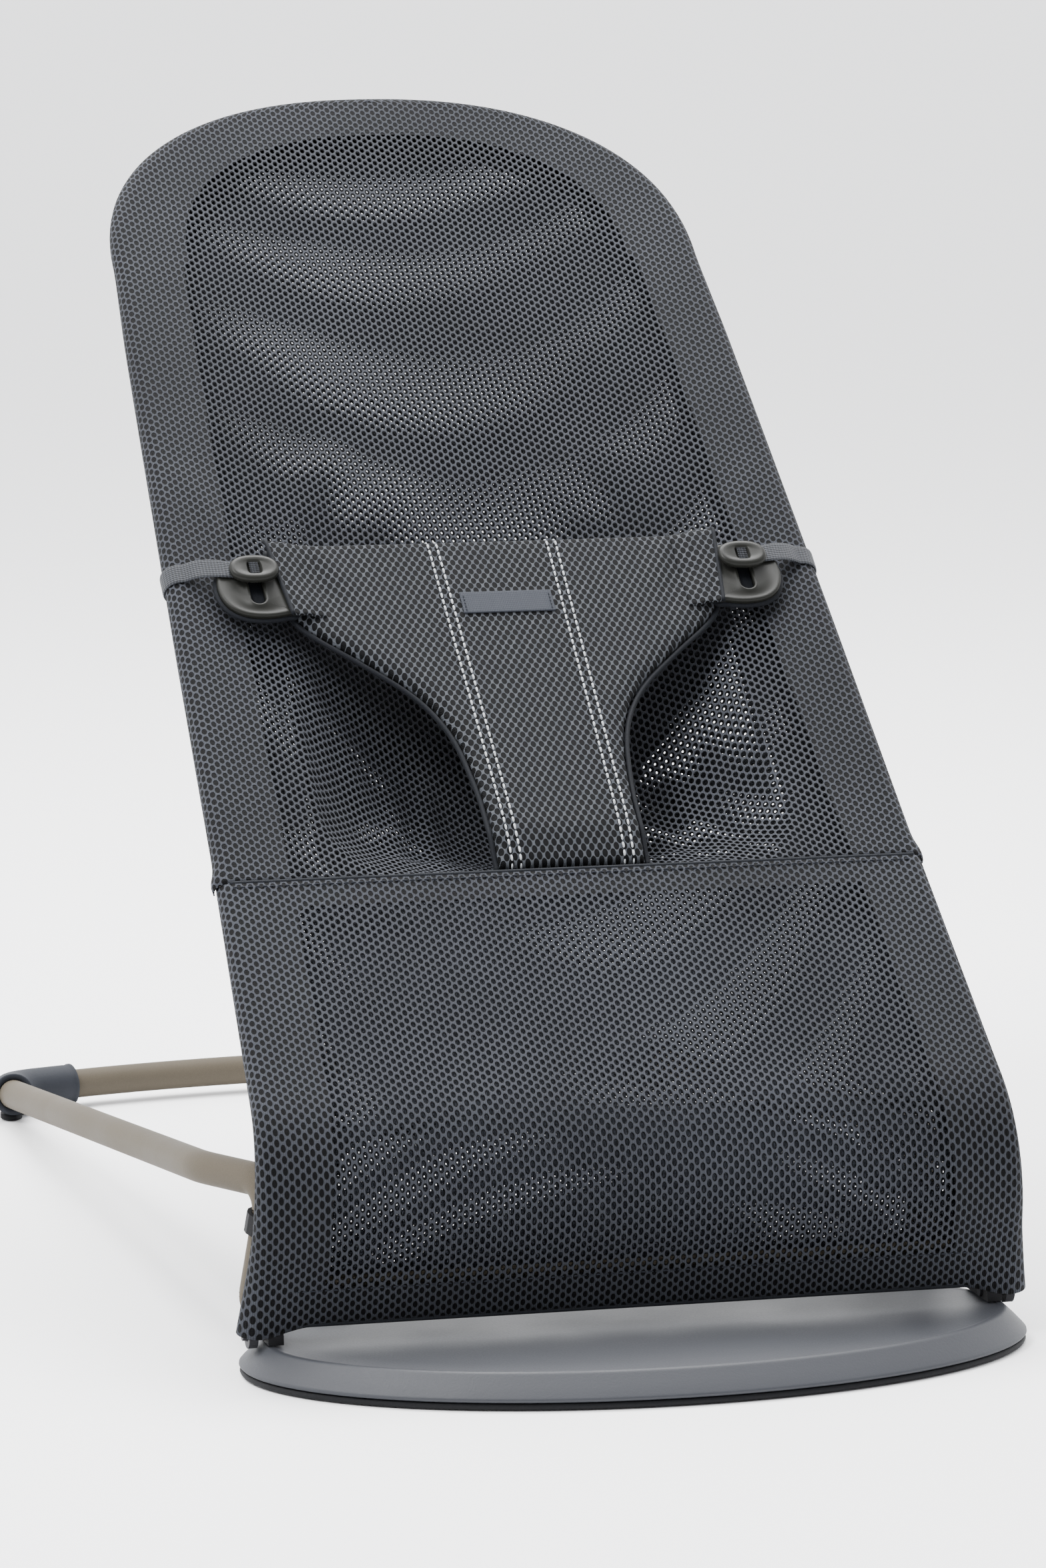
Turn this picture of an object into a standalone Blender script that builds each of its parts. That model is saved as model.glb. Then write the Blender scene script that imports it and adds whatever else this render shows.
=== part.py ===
"""Bouncer seat: mesh cover on a tubular seat frame, hinged to a floor plate with a spring bow.

Metres, +Z up.  The front of the seat faces -Y, the seat is mirrored about X = 0.  It is laid
out from the front edge of the floor plate at Y = 0 and moved back by half its length at the
end, so the finished origin lies on the floor under its middle.
"""
import math

import bmesh
import bpy
from mathutils import Matrix, Vector

for old in list(bpy.data.objects):
    bpy.data.objects.remove(old, do_unlink=True)

# ---------------------------------------------------------------- dimensions
SEAT_TILT = math.radians(39.5)          # slope of the back, highest position
KNEE = Vector((0.0, 0.1155, 0.1255))    # where the straight back meets the front bend
BEND_R = 0.060                          # radius of the front bend (frame axis)
BEND_ANGLE = math.radians(67.5)
S_BEND = -BEND_R * BEND_ANGLE           # arc length at the end of the bend
S_FOOT = -0.1010                        # lower end of the seat tube
S_SEAM = 0.1390                         # seam between back panel and apron
S_ARCH = 0.5810                         # where the head arch begins
ARCH_A, ARCH_B, ARCH_N = 0.1543, 0.1225, 2.3
HALF_WIDTH = ((-0.1023, 0.1950), (-0.0707, 0.1925), (-0.030, 0.1895), (0.0, 0.1872),
              (0.154, 0.1800), (0.30, 0.1748), (0.44, 0.1690), (0.52, 0.1656), (0.581, 0.1618))

SEAT_TUBE_R = 0.0055
COVER_T = 0.0016
COVER_MID = 0.0067                      # radius of the cover's middle surface round the tube
EDGE = COVER_MID + COVER_T / 2          # how far the covered edge stands outside the tube axis

PIVOT = Vector((0.0, 0.1090, 0.0200))   # recline axis, along X
BOW_R = 0.0082
BOW_FOOT_Z = 0.0125
PLATE_A, PLATE_FRONT_B, PLATE_REAR_B = 0.1950, 0.1040, 0.0850
PLATE_MID_Y = 0.1040
PLATE_Z0, PLATE_Z1 = 0.0033, 0.0160
LENGTH = 0.7949                         # front edge of the plate to the back of the bow

STRAP_S = 0.3475                        # where the straps go round the side tubes
STRAP_WIDTH = 0.0124
TOGGLE_S = 0.3400
TOGGLE_X = 0.1295

# ---------------------------------------------------------------- materials
LOOKS = {
    "mesh_fabric": ((0.060, 0.065, 0.075), 0.0, 0.85),
    "net_padding": ((0.050, 0.055, 0.062), 0.0, 0.90),
    "webbing": ((0.085, 0.092, 0.105), 0.0, 0.80),
    "label_cloth": ((0.070, 0.076, 0.090), 0.0, 0.60),
    "champagne_steel": ((0.55, 0.50, 0.43), 1.0, 0.35),
    "dark_steel": ((0.12, 0.12, 0.13), 1.0, 0.40),
    "grey_plastic": ((0.085, 0.090, 0.105), 0.0, 0.50),
    "black_plastic": ((0.020, 0.020, 0.022), 0.0, 0.45),
    "toggle_plastic": ((0.130, 0.132, 0.122), 0.0, 0.45),
    "foot_rubber": ((0.100, 0.105, 0.120), 0.0, 0.70),
    "grip_rubber": ((0.025, 0.025, 0.028), 0.0, 0.85),
}


PARTS = bpy.data.collections.new("bouncer_seat")
CUTTERS = bpy.data.collections.new("cutters")
for collection in (PARTS, CUTTERS):
    bpy.context.scene.collection.children.link(collection)


def material(node_name, look):
    colour, metallic, rough = LOOKS[look]
    mat = bpy.data.materials.new(node_name + "_" + look)
    mat.use_nodes = True
    shader = mat.node_tree.nodes["Principled BSDF"]
    shader.inputs["Base Color"].default_value = (*colour, 1.0)
    shader.inputs["Metallic"].default_value = metallic
    shader.inputs["Roughness"].default_value = rough
    return mat


def group(name, location):
    empty = bpy.data.objects.new(name, None)
    empty.location = location
    PARTS.objects.link(empty)
    return empty


SEAT = group("seat_axis", PIVOT)


def place(obj, look, parent=None, origin=Vector((0, 0, 0))):
    """Link an object whose mesh is in world coordinates, keeping its origin at `origin`."""
    obj.data.materials.append(material(obj.name, look))
    obj.data.transform(Matrix.Translation(-origin))
    obj.location = origin - (parent.location if parent else Vector((0, 0, 0)))
    obj.parent = parent
    PARTS.objects.link(obj)
    return obj


def finish_mesh(name, work, look, parent=None, origin=Vector((0, 0, 0))):
    """Turn a bmesh in world coordinates into a placed object, smooth but for its sharp edges."""
    bmesh.ops.remove_doubles(work, verts=work.verts, dist=1e-6)
    bmesh.ops.recalc_face_normals(work, faces=work.faces)
    mesh = bpy.data.meshes.new(name)
    work.to_mesh(mesh)
    work.free()
    mesh.shade_smooth()
    mesh.set_sharp_from_angle(angle=math.radians(35))
    return place(bpy.data.objects.new(name, mesh), look, parent, origin)


def mesh_object(name, verts, faces, look, parent=None, origin=Vector((0, 0, 0))):
    """Lofted surface or solid from rows of points."""
    work = bmesh.new()
    added = [work.verts.new(v) for v in verts]
    for face in faces:
        work.faces.new([added[i] for i in face])
    return finish_mesh(name, work, look, parent, origin)


# ---------------------------------------------------------------- seat surface
def interpolate(table, value):
    if value <= table[0][0]:
        return table[0][1]
    for (a, va), (b, vb) in zip(table, table[1:]):
        if value <= b:
            return va + (vb - va) * (value - a) / (b - a)
    return table[-1][1]


def profile(s):
    """Point (y, z) of the side profile and the angle of its outward (front) normal."""
    normal = math.pi / 2 + SEAT_TILT
    if s >= 0.0:
        along = Vector((math.cos(SEAT_TILT), math.sin(SEAT_TILT))) * s
        return Vector((KNEE.y, KNEE.z)) + along, normal
    centre = Vector((KNEE.y, KNEE.z)) - Vector((math.cos(normal), math.sin(normal))) * BEND_R
    turn = min(-s, -S_BEND) / BEND_R
    angle = normal + turn
    point = centre + Vector((math.cos(angle), math.sin(angle))) * BEND_R
    if s < S_BEND:
        down = Vector((-math.sin(angle), math.cos(angle))) * (S_BEND - s)
        point = point + down
    return point, angle


def seat_point(x, s, n):
    """World point at width x, length s along the profile, height n in front of it."""
    point, angle = profile(s)
    return Vector((x, point.x + n * math.cos(angle), point.y + n * math.sin(angle)))


def axis_half_width(s):
    return interpolate(HALF_WIDTH, s) - EDGE


def arch(t):
    """Tube axis of the head arch: t = 0 at the side, 1 at the middle of the head."""
    angle = t * math.pi / 2
    return (ARCH_A * max(math.cos(angle), 0.0) ** (2 / ARCH_N),
            S_ARCH + ARCH_B * math.sin(angle) ** (2 / ARCH_N))


BEND_STEP = 0.008


def side_stations(s0, s1, count):
    """(x, s) along the side: a fixed fine grid round the bend, then `count` steps to s1."""
    bend = [-BEND_STEP * i for i in range(12, 0, -1)]
    lengths = [s0] + [s for s in bend if s0 + 0.002 < s < s1]
    start = max(s0, 0.0)
    lengths += [start + (s1 - start) * i / count for i in range(0 if s0 < 0.0 else 1, count + 1)]
    return [(axis_half_width(s), s) for s in lengths]


def arch_stations(count):
    return [arch(i / count) for i in range(1, count)]


def half_loop(s0, side_count, arch_count):
    """Half of the frame axis as (x, s), from s0 up the side to just before the apex."""
    return side_stations(s0, S_ARCH, side_count) + arch_stations(arch_count)


def outward(stations, i):
    """Unit (x, s) direction pointing out of the loop at station i of the right half."""
    a = stations[max(i - 1, 0)]
    b = stations[min(i + 1, len(stations) - 1)]
    tangent = Vector((b[0] - a[0], b[1] - a[1]))
    if i == len(stations) - 1:
        tangent = Vector((-b[0], 0.0))
    tangent.normalize()
    return Vector((tangent.y, -tangent.x))


# ---------------------------------------------------------------- solids
def frame_along(points, i):
    a, b = points[max(i - 1, 0)], points[min(i + 1, len(points) - 1)]
    return (b - a).normalized()


def sweep(points, section):
    """Loft the cross-sections of all stations and close the ends."""
    verts, faces = [], []
    count = len(section(0))
    for i in range(len(points)):
        verts += section(i)
    for i in range(len(points) - 1):
        for j in range(count):
            k = (j + 1) % count
            faces.append((i * count + j, i * count + k, (i + 1) * count + k, (i + 1) * count + j))
    faces.append(tuple(range(count)))
    last = (len(points) - 1) * count
    faces.append(tuple(last + j for j in reversed(range(count))))
    return verts, faces


def ring(centre, tangent, radius, count, up=Vector((0, 0, 1))):
    side = tangent.cross(up)
    if side.length < 1e-4:
        side = tangent.cross(Vector((0, 1, 0)))
    side.normalize()
    top = side.cross(tangent).normalized()
    return [centre + side * (radius * math.cos(2 * math.pi * j / count))
            + top * (radius * math.sin(2 * math.pi * j / count)) for j in range(count)]


def tube(name, points, radius, look, parent=None, origin=Vector((0, 0, 0))):
    curve = bpy.data.curves.new(name, "CURVE")
    curve.dimensions = "3D"
    spline = curve.splines.new("POLY")
    spline.points.add(len(points) - 1)
    for node, p in zip(spline.points, points):
        node.co = (*p, 1.0)
    curve.bevel_depth = radius
    curve.bevel_resolution = 2
    curve.use_fill_caps = True
    return place(bpy.data.objects.new(name, curve), look, parent, origin)


def sleeve(name, points, r_out, r_in, look, flat_z=None, parent=None):
    """Hollow sleeve round a path; the lower outside may be cut flat on the floor."""
    verts, faces, count = [], [], 16
    for i, p in enumerate(points):
        t = frame_along(points, i)
        outer = ring(p, t, r_out, count)
        if flat_z is not None:
            for v in outer:
                if v.z < p.z - 0.72 * r_out:
                    v.z = flat_z
        verts += outer + ring(p, t, r_in, count)
    step = 2 * count
    for i in range(len(points) - 1):
        a, b = i * step, (i + 1) * step
        for j in range(count):
            k = (j + 1) % count
            faces.append((a + j, a + k, b + k, b + j))
            faces.append((a + count + k, a + count + j, b + count + j, b + count + k))
    for base in (0, (len(points) - 1) * step):
        for j in range(count):
            k = (j + 1) % count
            faces.append((base + j, base + count + j, base + count + k, base + k))
    return mesh_object(name, verts, faces, look, parent)


def rounded_path(corners, radii):
    """Polyline with its inner corners rounded by arcs of the given radii."""
    path = [corners[0].copy()]
    for before, corner, after, radius in zip(corners, corners[1:], corners[2:], radii):
        a, b = (before - corner).normalized(), (after - corner).normalized()
        half = a.angle(b) / 2
        reach = radius / math.tan(half)
        centre = corner + (a + b).normalized() * (radius / math.sin(half))
        start, end = corner + a * reach, corner + b * reach
        turn = math.pi - 2 * half
        count = max(2, int(math.ceil(turn / math.radians(11))))
        for i in range(count + 1):
            f = i / count
            arm = (start - centre).normalized().slerp((end - centre).normalized(), f)
            path.append(centre + arm * radius)
    path.append(corners[-1].copy())
    return path


def mirror_points(points):
    return [Vector((-p.x, p.y, p.z)) for p in points]


def edge_bevel(obj, width):
    mod = obj.modifiers.new("edge", "BEVEL")
    mod.width, mod.segments, mod.limit_method = width, 2, "ANGLE"
    mod.angle_limit = math.radians(40)


def box(name, low, high, look):
    low, high = Vector(low), Vector(high)
    size = Vector([abs(b - a) for a, b in zip(low, high)])
    work = bmesh.new()
    bmesh.ops.create_cube(work, size=1.0, matrix=Matrix.LocRotScale((low + high) / 2, None, size))
    return finish_mesh(name, work, look)


def x_cylinder(name, centre, length, radius, look, parent=None, count=24):
    """Round part whose axis runs along X."""
    work = bmesh.new()
    turn = Matrix.Translation(centre) @ Matrix.Rotation(math.pi / 2, 4, "Y")
    bmesh.ops.create_cone(work, cap_ends=True, segments=count, radius1=radius, radius2=radius,
                          depth=length, matrix=turn)
    return finish_mesh(name, work, look, parent)


def boolean(target, tool, operation):
    """Apply a tool to a target; the tool stays hidden in its own collection."""
    for coll in list(tool.users_collection):
        coll.objects.unlink(tool)
    CUTTERS.objects.link(tool)
    tool.hide_render = True
    tool.display_type = "WIRE"
    mod = target.modifiers.new(operation.lower(), "BOOLEAN")
    mod.operation, mod.solver, mod.object = operation, "EXACT", tool


def extruded(name, outline, thickness, turn, look, parent=None, origin=Vector((0, 0, 0))):
    """Flat outline of 2-D points, thickened both ways about its plane and placed by `turn`."""
    curve = bpy.data.curves.new(name + "_outline", "CURVE")
    curve.dimensions, curve.fill_mode, curve.extrude = "2D", "BOTH", thickness / 2
    spline = curve.splines.new("POLY")
    spline.points.add(len(outline) - 1)
    for node, (u, v) in zip(spline.points, outline):
        node.co = (u, v, 0.0, 1.0)
    spline.use_cyclic_u = True
    flat = bpy.data.objects.new(name + "_outline", curve)
    PARTS.objects.link(flat)
    graph = bpy.context.evaluated_depsgraph_get()
    filled = bpy.data.meshes.new_from_object(flat.evaluated_get(graph))
    bpy.data.objects.remove(flat, do_unlink=True)
    filled.transform(turn)
    work = bmesh.new()
    work.from_mesh(filled)
    return finish_mesh(name, work, look, parent, origin)


def slab(name, outline, n0, n1, look, parent=None, origin=Vector((0, 0, 0))):
    """Flat slab on the seat plane from an outline of (x, s) points, from height n0 to n1."""
    base = seat_point(0.0, 0.0, (n0 + n1) / 2)
    turn = Matrix.Translation(base) @ Matrix.Rotation(SEAT_TILT, 4, "X")
    return extruded(name, outline, n1 - n0, turn, look, parent, origin)


def x_plate(name, outline, x0, x1, look, parent=None):
    """Flat plate across X from an outline of (y, z) points."""
    turn = Matrix.Translation(((x0 + x1) / 2, 0, 0)) @ Matrix(
        ((0, 0, 1, 0), (1, 0, 0, 0), (0, 1, 0, 0), (0, 0, 0, 1)))
    return extruded(name, outline, abs(x1 - x0), turn, look, parent)


def oval(cx, cs, a, b, count=24, power=2.0):
    points = []
    for j in range(count):
        angle = 2 * math.pi * j / count
        c, s = math.cos(angle), math.sin(angle)
        points.append((cx + a * math.copysign(abs(c) ** (2 / power), c),
                       cs + b * math.copysign(abs(s) ** (2 / power), s)))
    return points


# ---------------------------------------------------------------- floor plate
def plate_outline(inset, count=56):
    points = []
    for j in range(count):
        angle = 2 * math.pi * j / count
        c, s = math.cos(angle), math.sin(angle)
        power = 2.0 if s < 0 else 2.3
        b = PLATE_FRONT_B if s < 0 else PLATE_REAR_B
        points.append(((PLATE_A - inset) * math.copysign(abs(c) ** (2 / power), c),
                       PLATE_MID_Y + (b - inset) * math.copysign(abs(s) ** (2 / power), s)))
    return points


def stacked(name, layers, look, hole=None):
    """Solid from stacked plate outlines: layers of (inset, z)."""
    verts, faces = [], []
    count = len(plate_outline(0.0))
    for inset, z in layers:
        verts += [(x, y, z) for x, y in plate_outline(inset)]
    for i in range(len(layers) - 1):
        for j in range(count):
            k = (j + 1) % count
            faces.append((i * count + j, i * count + k, (i + 1) * count + k, (i + 1) * count + j))
    if hole:
        last = (len(layers) - 1) * count
        faces += [(last + j, last + (j + 1) % count, (j + 1) % count, j) for j in range(count)]
    else:
        faces.append(tuple(reversed(range(count))))
        faces.append(tuple(range((len(layers) - 1) * count, len(layers) * count)))
    return mesh_object(name, verts, faces, look)


def build_plate():
    stacked("base_plate", [(0.0030, PLATE_Z0), (0.0, PLATE_Z0 + 0.0008), (0.0, PLATE_Z0 + 0.0018),
                           (0.0010, PLATE_Z0 + 0.0030), (0.0096, PLATE_Z1 - 0.0014),
                           (0.0112, PLATE_Z1 - 0.0004), (0.0140, PLATE_Z1)], "grey_plastic")
    stacked("plate_grip", [(0.0012, 0.0), (0.0004, 0.0030), (0.0130, 0.0030), (0.0130, 0.0)],
            "grip_rubber", hole=True)


# ---------------------------------------------------------------- spring bow
REAR_CORNER = Vector((0.1920, 0.7570, BOW_FOOT_Z))
RAIL_FRONT = Vector((0.1870, 0.2300, 0.0763))
BOW_KNEE = Vector((0.1640, 0.1720, 0.0790))
LEG_FOOT = Vector((0.1730, 0.1840, 0.0095))
LEG_END = Vector((0.1380, 0.1840, 0.0095))
REAR_BULGE = 0.030


def rear_arc():
    """Right half of the gently bowed rear bar, from near the corner to the middle."""
    radius = (REAR_CORNER.x ** 2 + REAR_BULGE ** 2) / (2 * REAR_BULGE)
    centre_y = REAR_CORNER.y + REAR_BULGE - radius
    xs = [0.142, 0.110, 0.074, 0.037, 0.0]
    return [Vector((x, centre_y + math.sqrt(radius ** 2 - x ** 2), BOW_FOOT_Z)) for x in xs]


def bow_path():
    arc = rear_arc()
    corners = [LEG_END, LEG_FOOT, BOW_KNEE, RAIL_FRONT, REAR_CORNER, arc[0]]
    half = rounded_path(corners, [0.0130, 0.014, 0.060, 0.026]) + arc[1:]
    return half + mirror_points(half[:-1])[::-1]


def foot_path():
    """The part of the bow path that the rubber elbow covers."""
    corner = rounded_path([RAIL_FRONT, REAR_CORNER, rear_arc()[0]], [0.026])
    inner = corner[1:-1]
    back = (inner[0] - corner[0]).normalized()
    ahead = (corner[-1] - inner[-1]).normalized()
    return [inner[0] - back * 0.006] + inner + [inner[-1] + ahead * 0.011, inner[-1] + ahead * 0.022]


def socket(side, name):
    low = (0.1310, 0.1730, 0.0004)
    high = (0.1510, 0.1950, 0.0197)
    body = box(name, (side * low[0], low[1], low[2]), (side * high[0], high[1], high[2]),
               "black_plastic")
    edge_bevel(body, 0.0015)
    tongue = box(name + "_tongue", (side * 0.1330, 0.1480, PLATE_Z1 + 0.0004),
                 (side * 0.1490, 0.1780, 0.0194), "black_plastic")
    boolean(body, tongue, "UNION")
    bore = x_cylinder(name + "_bore", Vector((side * 0.1470, LEG_END.y, LEG_END.z)), 0.0210,
                      BOW_R + 0.0005, "black_plastic")
    boolean(body, bore, "DIFFERENCE")
    return body


def catch(side, name):
    """Clamp round the bow's leg with an arm and a tooth that sits in the notched rack."""
    along = (BOW_KNEE - LEG_FOOT).normalized()
    mid = BOW_KNEE - along * 0.0210
    points = [mid - along * 0.0050, mid + along * 0.0050]
    points = points if side > 0 else mirror_points(points)
    body = sleeve(name, points, BOW_R + 0.0026, BOW_R + 0.0004, "black_plastic")
    pieces = {"bridge": ((0.1495, 0.1805, 0.0545), (0.1580, 0.1955, 0.0625)),
              "arm": ((0.1425, 0.1908, 0.0545), (0.1500, 0.1955, 0.0868)),
              "tooth": ((0.1425, 0.1782, 0.0764), (0.1500, 0.1930, 0.0868))}
    for label, (low, high) in pieces.items():
        block = box(name + "_" + label, (side * low[0], low[1], low[2]),
                    (side * high[0], high[1], high[2]), "black_plastic")
        boolean(body, block, "UNION")
    return body


def build_bow():
    tube("base_bow", bow_path(), BOW_R, "champagne_steel")
    path = foot_path()
    for side, tag in ((-1, "left"), (1, "right")):
        points = path if side > 0 else mirror_points(path)
        sleeve("bow_foot_" + tag, points, 0.0115, BOW_R + 0.0004, "foot_rubber", flat_z=0.0)
        socket(side, "bow_socket_" + tag)
        catch(side, "position_catch_" + tag)


# ---------------------------------------------------------------- seat frame and hinge
def frame_points():
    right = half_loop(S_FOOT, 12, 14)
    points = [seat_point(x, s, 0.0) for x, s in right]
    apex = seat_point(0.0, S_ARCH + ARCH_B, 0.0)
    return points + [apex] + mirror_points(points)[::-1]


BRACKET = ((0.098, 0.0166), (0.132, 0.0166), (0.132, 0.0195), (0.1245, 0.0225), (0.1175, 0.0262),
           (0.1130, 0.0284), (0.1050, 0.0284), (0.1005, 0.0250), (0.0985, 0.0205))


def hinge(side, tag):
    """Eye on the tube's end, bracket on the plate and the pin through both."""
    foot_x = axis_half_width(S_FOOT)
    at = Vector((0.0, PIVOT.y, PIVOT.z))
    eye = x_cylinder("hinge_eye_" + tag, at + Vector((side * (foot_x + 0.0020), 0, 0)), 0.0044, 0.0066,
                     "champagne_steel", SEAT)
    eye_bore = x_cylinder("hinge_eye_bore_" + tag, at + Vector((side * foot_x, 0, 0)), 0.0200, 0.0032,
                          "champagne_steel")
    boolean(eye, eye_bore, "DIFFERENCE")
    middle = foot_x - 0.0080
    bracket = x_plate("hinge_bracket_" + tag, BRACKET, side * (middle - 0.0035),
                      side * (middle + 0.0040), "black_plastic")
    bore = x_cylinder("hinge_bore_" + tag, at + Vector((side * middle, 0, 0)), 0.0200, 0.0032,
                      "black_plastic")
    boolean(bracket, bore, "DIFFERENCE")
    x_cylinder("hinge_pin_" + tag, at + Vector((side * (foot_x - 0.0030), 0, 0)), 0.0190, 0.0028,
               "dark_steel", SEAT, count=16)


RACK_IN, RACK_OUT = 0.0740, 0.0875
NOTCHES = (40.0, 47.0, 54.0)            # the three resting positions, degrees above horizontal
RACK_FROM, RACK_TO = 37.0, 86.0


def rack(side, tag):
    """Notched arc centred on the recline axis, hung behind the lower cross bar."""
    outer, inner = [], []
    count = 28
    for i in range(count + 1):
        degrees = RACK_FROM + (RACK_TO - RACK_FROM) * i / count
        near = min(abs(degrees - mark) for mark in NOTCHES)
        radius = RACK_OUT - (0.0022 if near < 0.9 else 0.0)
        y, z = math.cos(math.radians(degrees)), math.sin(math.radians(degrees))
        outer.append((PIVOT.y + y * radius, PIVOT.z + z * radius))
        inner.append((PIVOT.y + y * RACK_IN, PIVOT.z + z * RACK_IN))
    x_plate("position_rack_" + tag, outer + inner[::-1], side * 0.1440, side * 0.1490,
            "black_plastic", SEAT)


def build_seat_frame():
    tube("seat_frame", frame_points(), SEAT_TUBE_R, "champagne_steel", SEAT, PIVOT)
    hem_x = axis_half_width(-0.088) - SEAT_TUBE_R - 0.0004
    hem = seat_point(0.0, -0.088, 0.0)
    tube("hem_bar", [Vector((-hem_x, hem.y, hem.z)), Vector((hem_x, hem.y, hem.z))], 0.0030,
         "champagne_steel", SEAT)
    bar = seat_point(0.0, -0.0050, -0.0125)
    tube("rack_bar", [Vector((-0.1530, bar.y, bar.z)), Vector((0.1530, bar.y, bar.z))], 0.0040,
         "dark_steel", SEAT)
    for side, tag in ((-1, "left"), (1, "right")):
        hinge(side, tag)
        rack(side, tag)


# ---------------------------------------------------------------- mesh cover
POCKET = ((0.142, 0.000), (0.152, 0.018), (0.172, 0.036), (0.205, 0.046), (0.240, 0.045),
          (0.290, 0.036), (0.350, 0.024), (0.420, 0.014), (0.500, 0.008), (0.600, 0.004), (0.71, 0.0))


def sag(x, s, depth):
    """How far the cloth hangs behind the frame plane between the side tubes."""
    up = min(max((s - S_ARCH) / ARCH_B, 0.0), 0.999)
    width = axis_half_width(min(s, S_ARCH)) * (1.0 - up ** ARCH_N) ** (1 / ARCH_N)
    across = max(0.0, 1.0 - (abs(x) / width) ** 2)
    return depth * across ** 1.6 * (1.0 - up ** 2)


def sheet(name, rows, front, depth_of, look, columns=14, closing=False):
    """Cloth panel laid across the frame, its side edges curling part way round the tubes."""
    sign = 1.0 if front else -1.0
    angles = [math.radians(a) for a in (67, 79, 90)]
    grid = []
    for i, (half, s) in enumerate(rows):
        out = outward(rows, i)
        edge = []
        for a in angles:
            c, n = COVER_MID * math.cos(a), sign * COVER_MID * math.sin(a)
            edge.append((half + out.x * c, s + out.y * c, n))
        row = [(-x, y, n) for x, y, n in edge]
        for j in range(1, columns):
            x = half * (2.0 * j / columns - 1.0)
            row.append((x, s, sign * COVER_MID - depth_of(x, s)))
        row += edge[::-1]
        grid.append(row)
    if closing:
        half, s = rows[-1]
        c, n = COVER_MID * math.cos(angles[0]), sign * COVER_MID * math.sin(angles[0])
        last = grid[-1]
        span = last[-1][0]
        grid.append([(span * (2.0 * j / (len(last) - 1) - 1.0), s + c, n)
                     for j in range(len(last))])
    width = len(grid[0])
    verts = [seat_point(*p) for row in grid for p in row]
    faces = [(i * width + j, i * width + j + 1, (i + 1) * width + j + 1, (i + 1) * width + j)
             for i in range(len(grid) - 1) for j in range(width - 1)]
    obj = mesh_object(name, verts, faces, look, SEAT)
    mod = obj.modifiers.new("cloth", "SOLIDIFY")
    mod.thickness, mod.offset = COVER_T, 0.0
    return obj


def build_cover():
    upper = side_stations(S_SEAM + 0.0022, S_ARCH, 20) + [arch(t) for t in
                                                          (0.2, 0.35, 0.5, 0.62, 0.73, 0.83, 0.92)]
    sheet("cover_back_panel", upper, True,
          lambda x, s: sag(x, s, interpolate(POCKET, s)), "mesh_fabric", closing=True)
    lower = side_stations(-0.0960, S_SEAM - 0.0012, 7)
    sheet("cover_apron", lower, True, lambda x, s: 0.0, "mesh_fabric", columns=10)
    rear = side_stations(-0.0960, S_ARCH, 26) + [arch(t) for t in
                                                 (0.2, 0.35, 0.5, 0.62, 0.73, 0.83, 0.92)]
    sheet("cover_rear_panel", rear, False,
          lambda x, s: sag(x, s, interpolate(POCKET, s) * 1.10 + (0.0035 if s > 0.15 else 0.0)),
          "mesh_fabric", closing=True)
    build_rim()


def build_rim():
    """Covered edge: the cloth that runs round the outside of the seat tube."""
    right = half_loop(-0.0960, 12, 14)
    loop = []
    for i, (x, s) in enumerate(right):
        out = outward(right, i)
        loop.append((x, s, out.x, out.y))
    apex = (0.0, S_ARCH + ARCH_B, 0.0, 1.0)
    loop = loop + [apex] + [(-x, s, -ox, oy) for x, s, ox, oy in loop[::-1]]
    angles = [math.radians(a) for a in (-54, -36, -18, 0, 18, 36, 54)]

    def section(i):
        x, s, ox, oy = loop[i]
        outer = [seat_point(x + ox * EDGE * math.cos(a), s + oy * EDGE * math.cos(a),
                            EDGE * math.sin(a)) for a in angles]
        r = EDGE - COVER_T
        inner = [seat_point(x + ox * r * math.cos(a), s + oy * r * math.cos(a),
                            r * math.sin(a)) for a in reversed(angles)]
        return outer + inner

    verts, faces = sweep(loop, section)
    mesh_object("cover_rim", verts, faces, "mesh_fabric", SEAT)


# ---------------------------------------------------------------- harness
HARNESS_HALF = ((0.0385, 0.1460), (0.0395, 0.1900), (0.0475, 0.2370), (0.0590, 0.2590),
                (0.0750, 0.2760), (0.0930, 0.2930), (0.1090, 0.3060), (0.1150, 0.3180),
                (0.1180, 0.3400), (0.1185, 0.3610), (0.1150, 0.3655))
SLAB_N0, SLAB_N1 = 0.0025, 0.0105
PLATE_N0, PLATE_N1 = 0.0110, 0.0140
DISC_N0, DISC_N1 = 0.0162, 0.0202


def build_harness():
    outline = list(HARNESS_HALF) + [(-x, s) for x, s in HARNESS_HALF[::-1]]
    edge_bevel(slab("harness_panel", outline, SLAB_N0, SLAB_N1, "net_padding", SEAT), 0.0024)
    slab("harness_label", oval(0.0, 0.3170, 0.0230, 0.0070, 20, 12.0), SLAB_N1 + 0.0003,
         SLAB_N1 + 0.0012, "label_cloth", SEAT)
    for side, tag in ((-1, "left"), (1, "right")):
        slot_plate(side, tag)
        toggle(side, tag)
        strap(side, tag)


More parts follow.
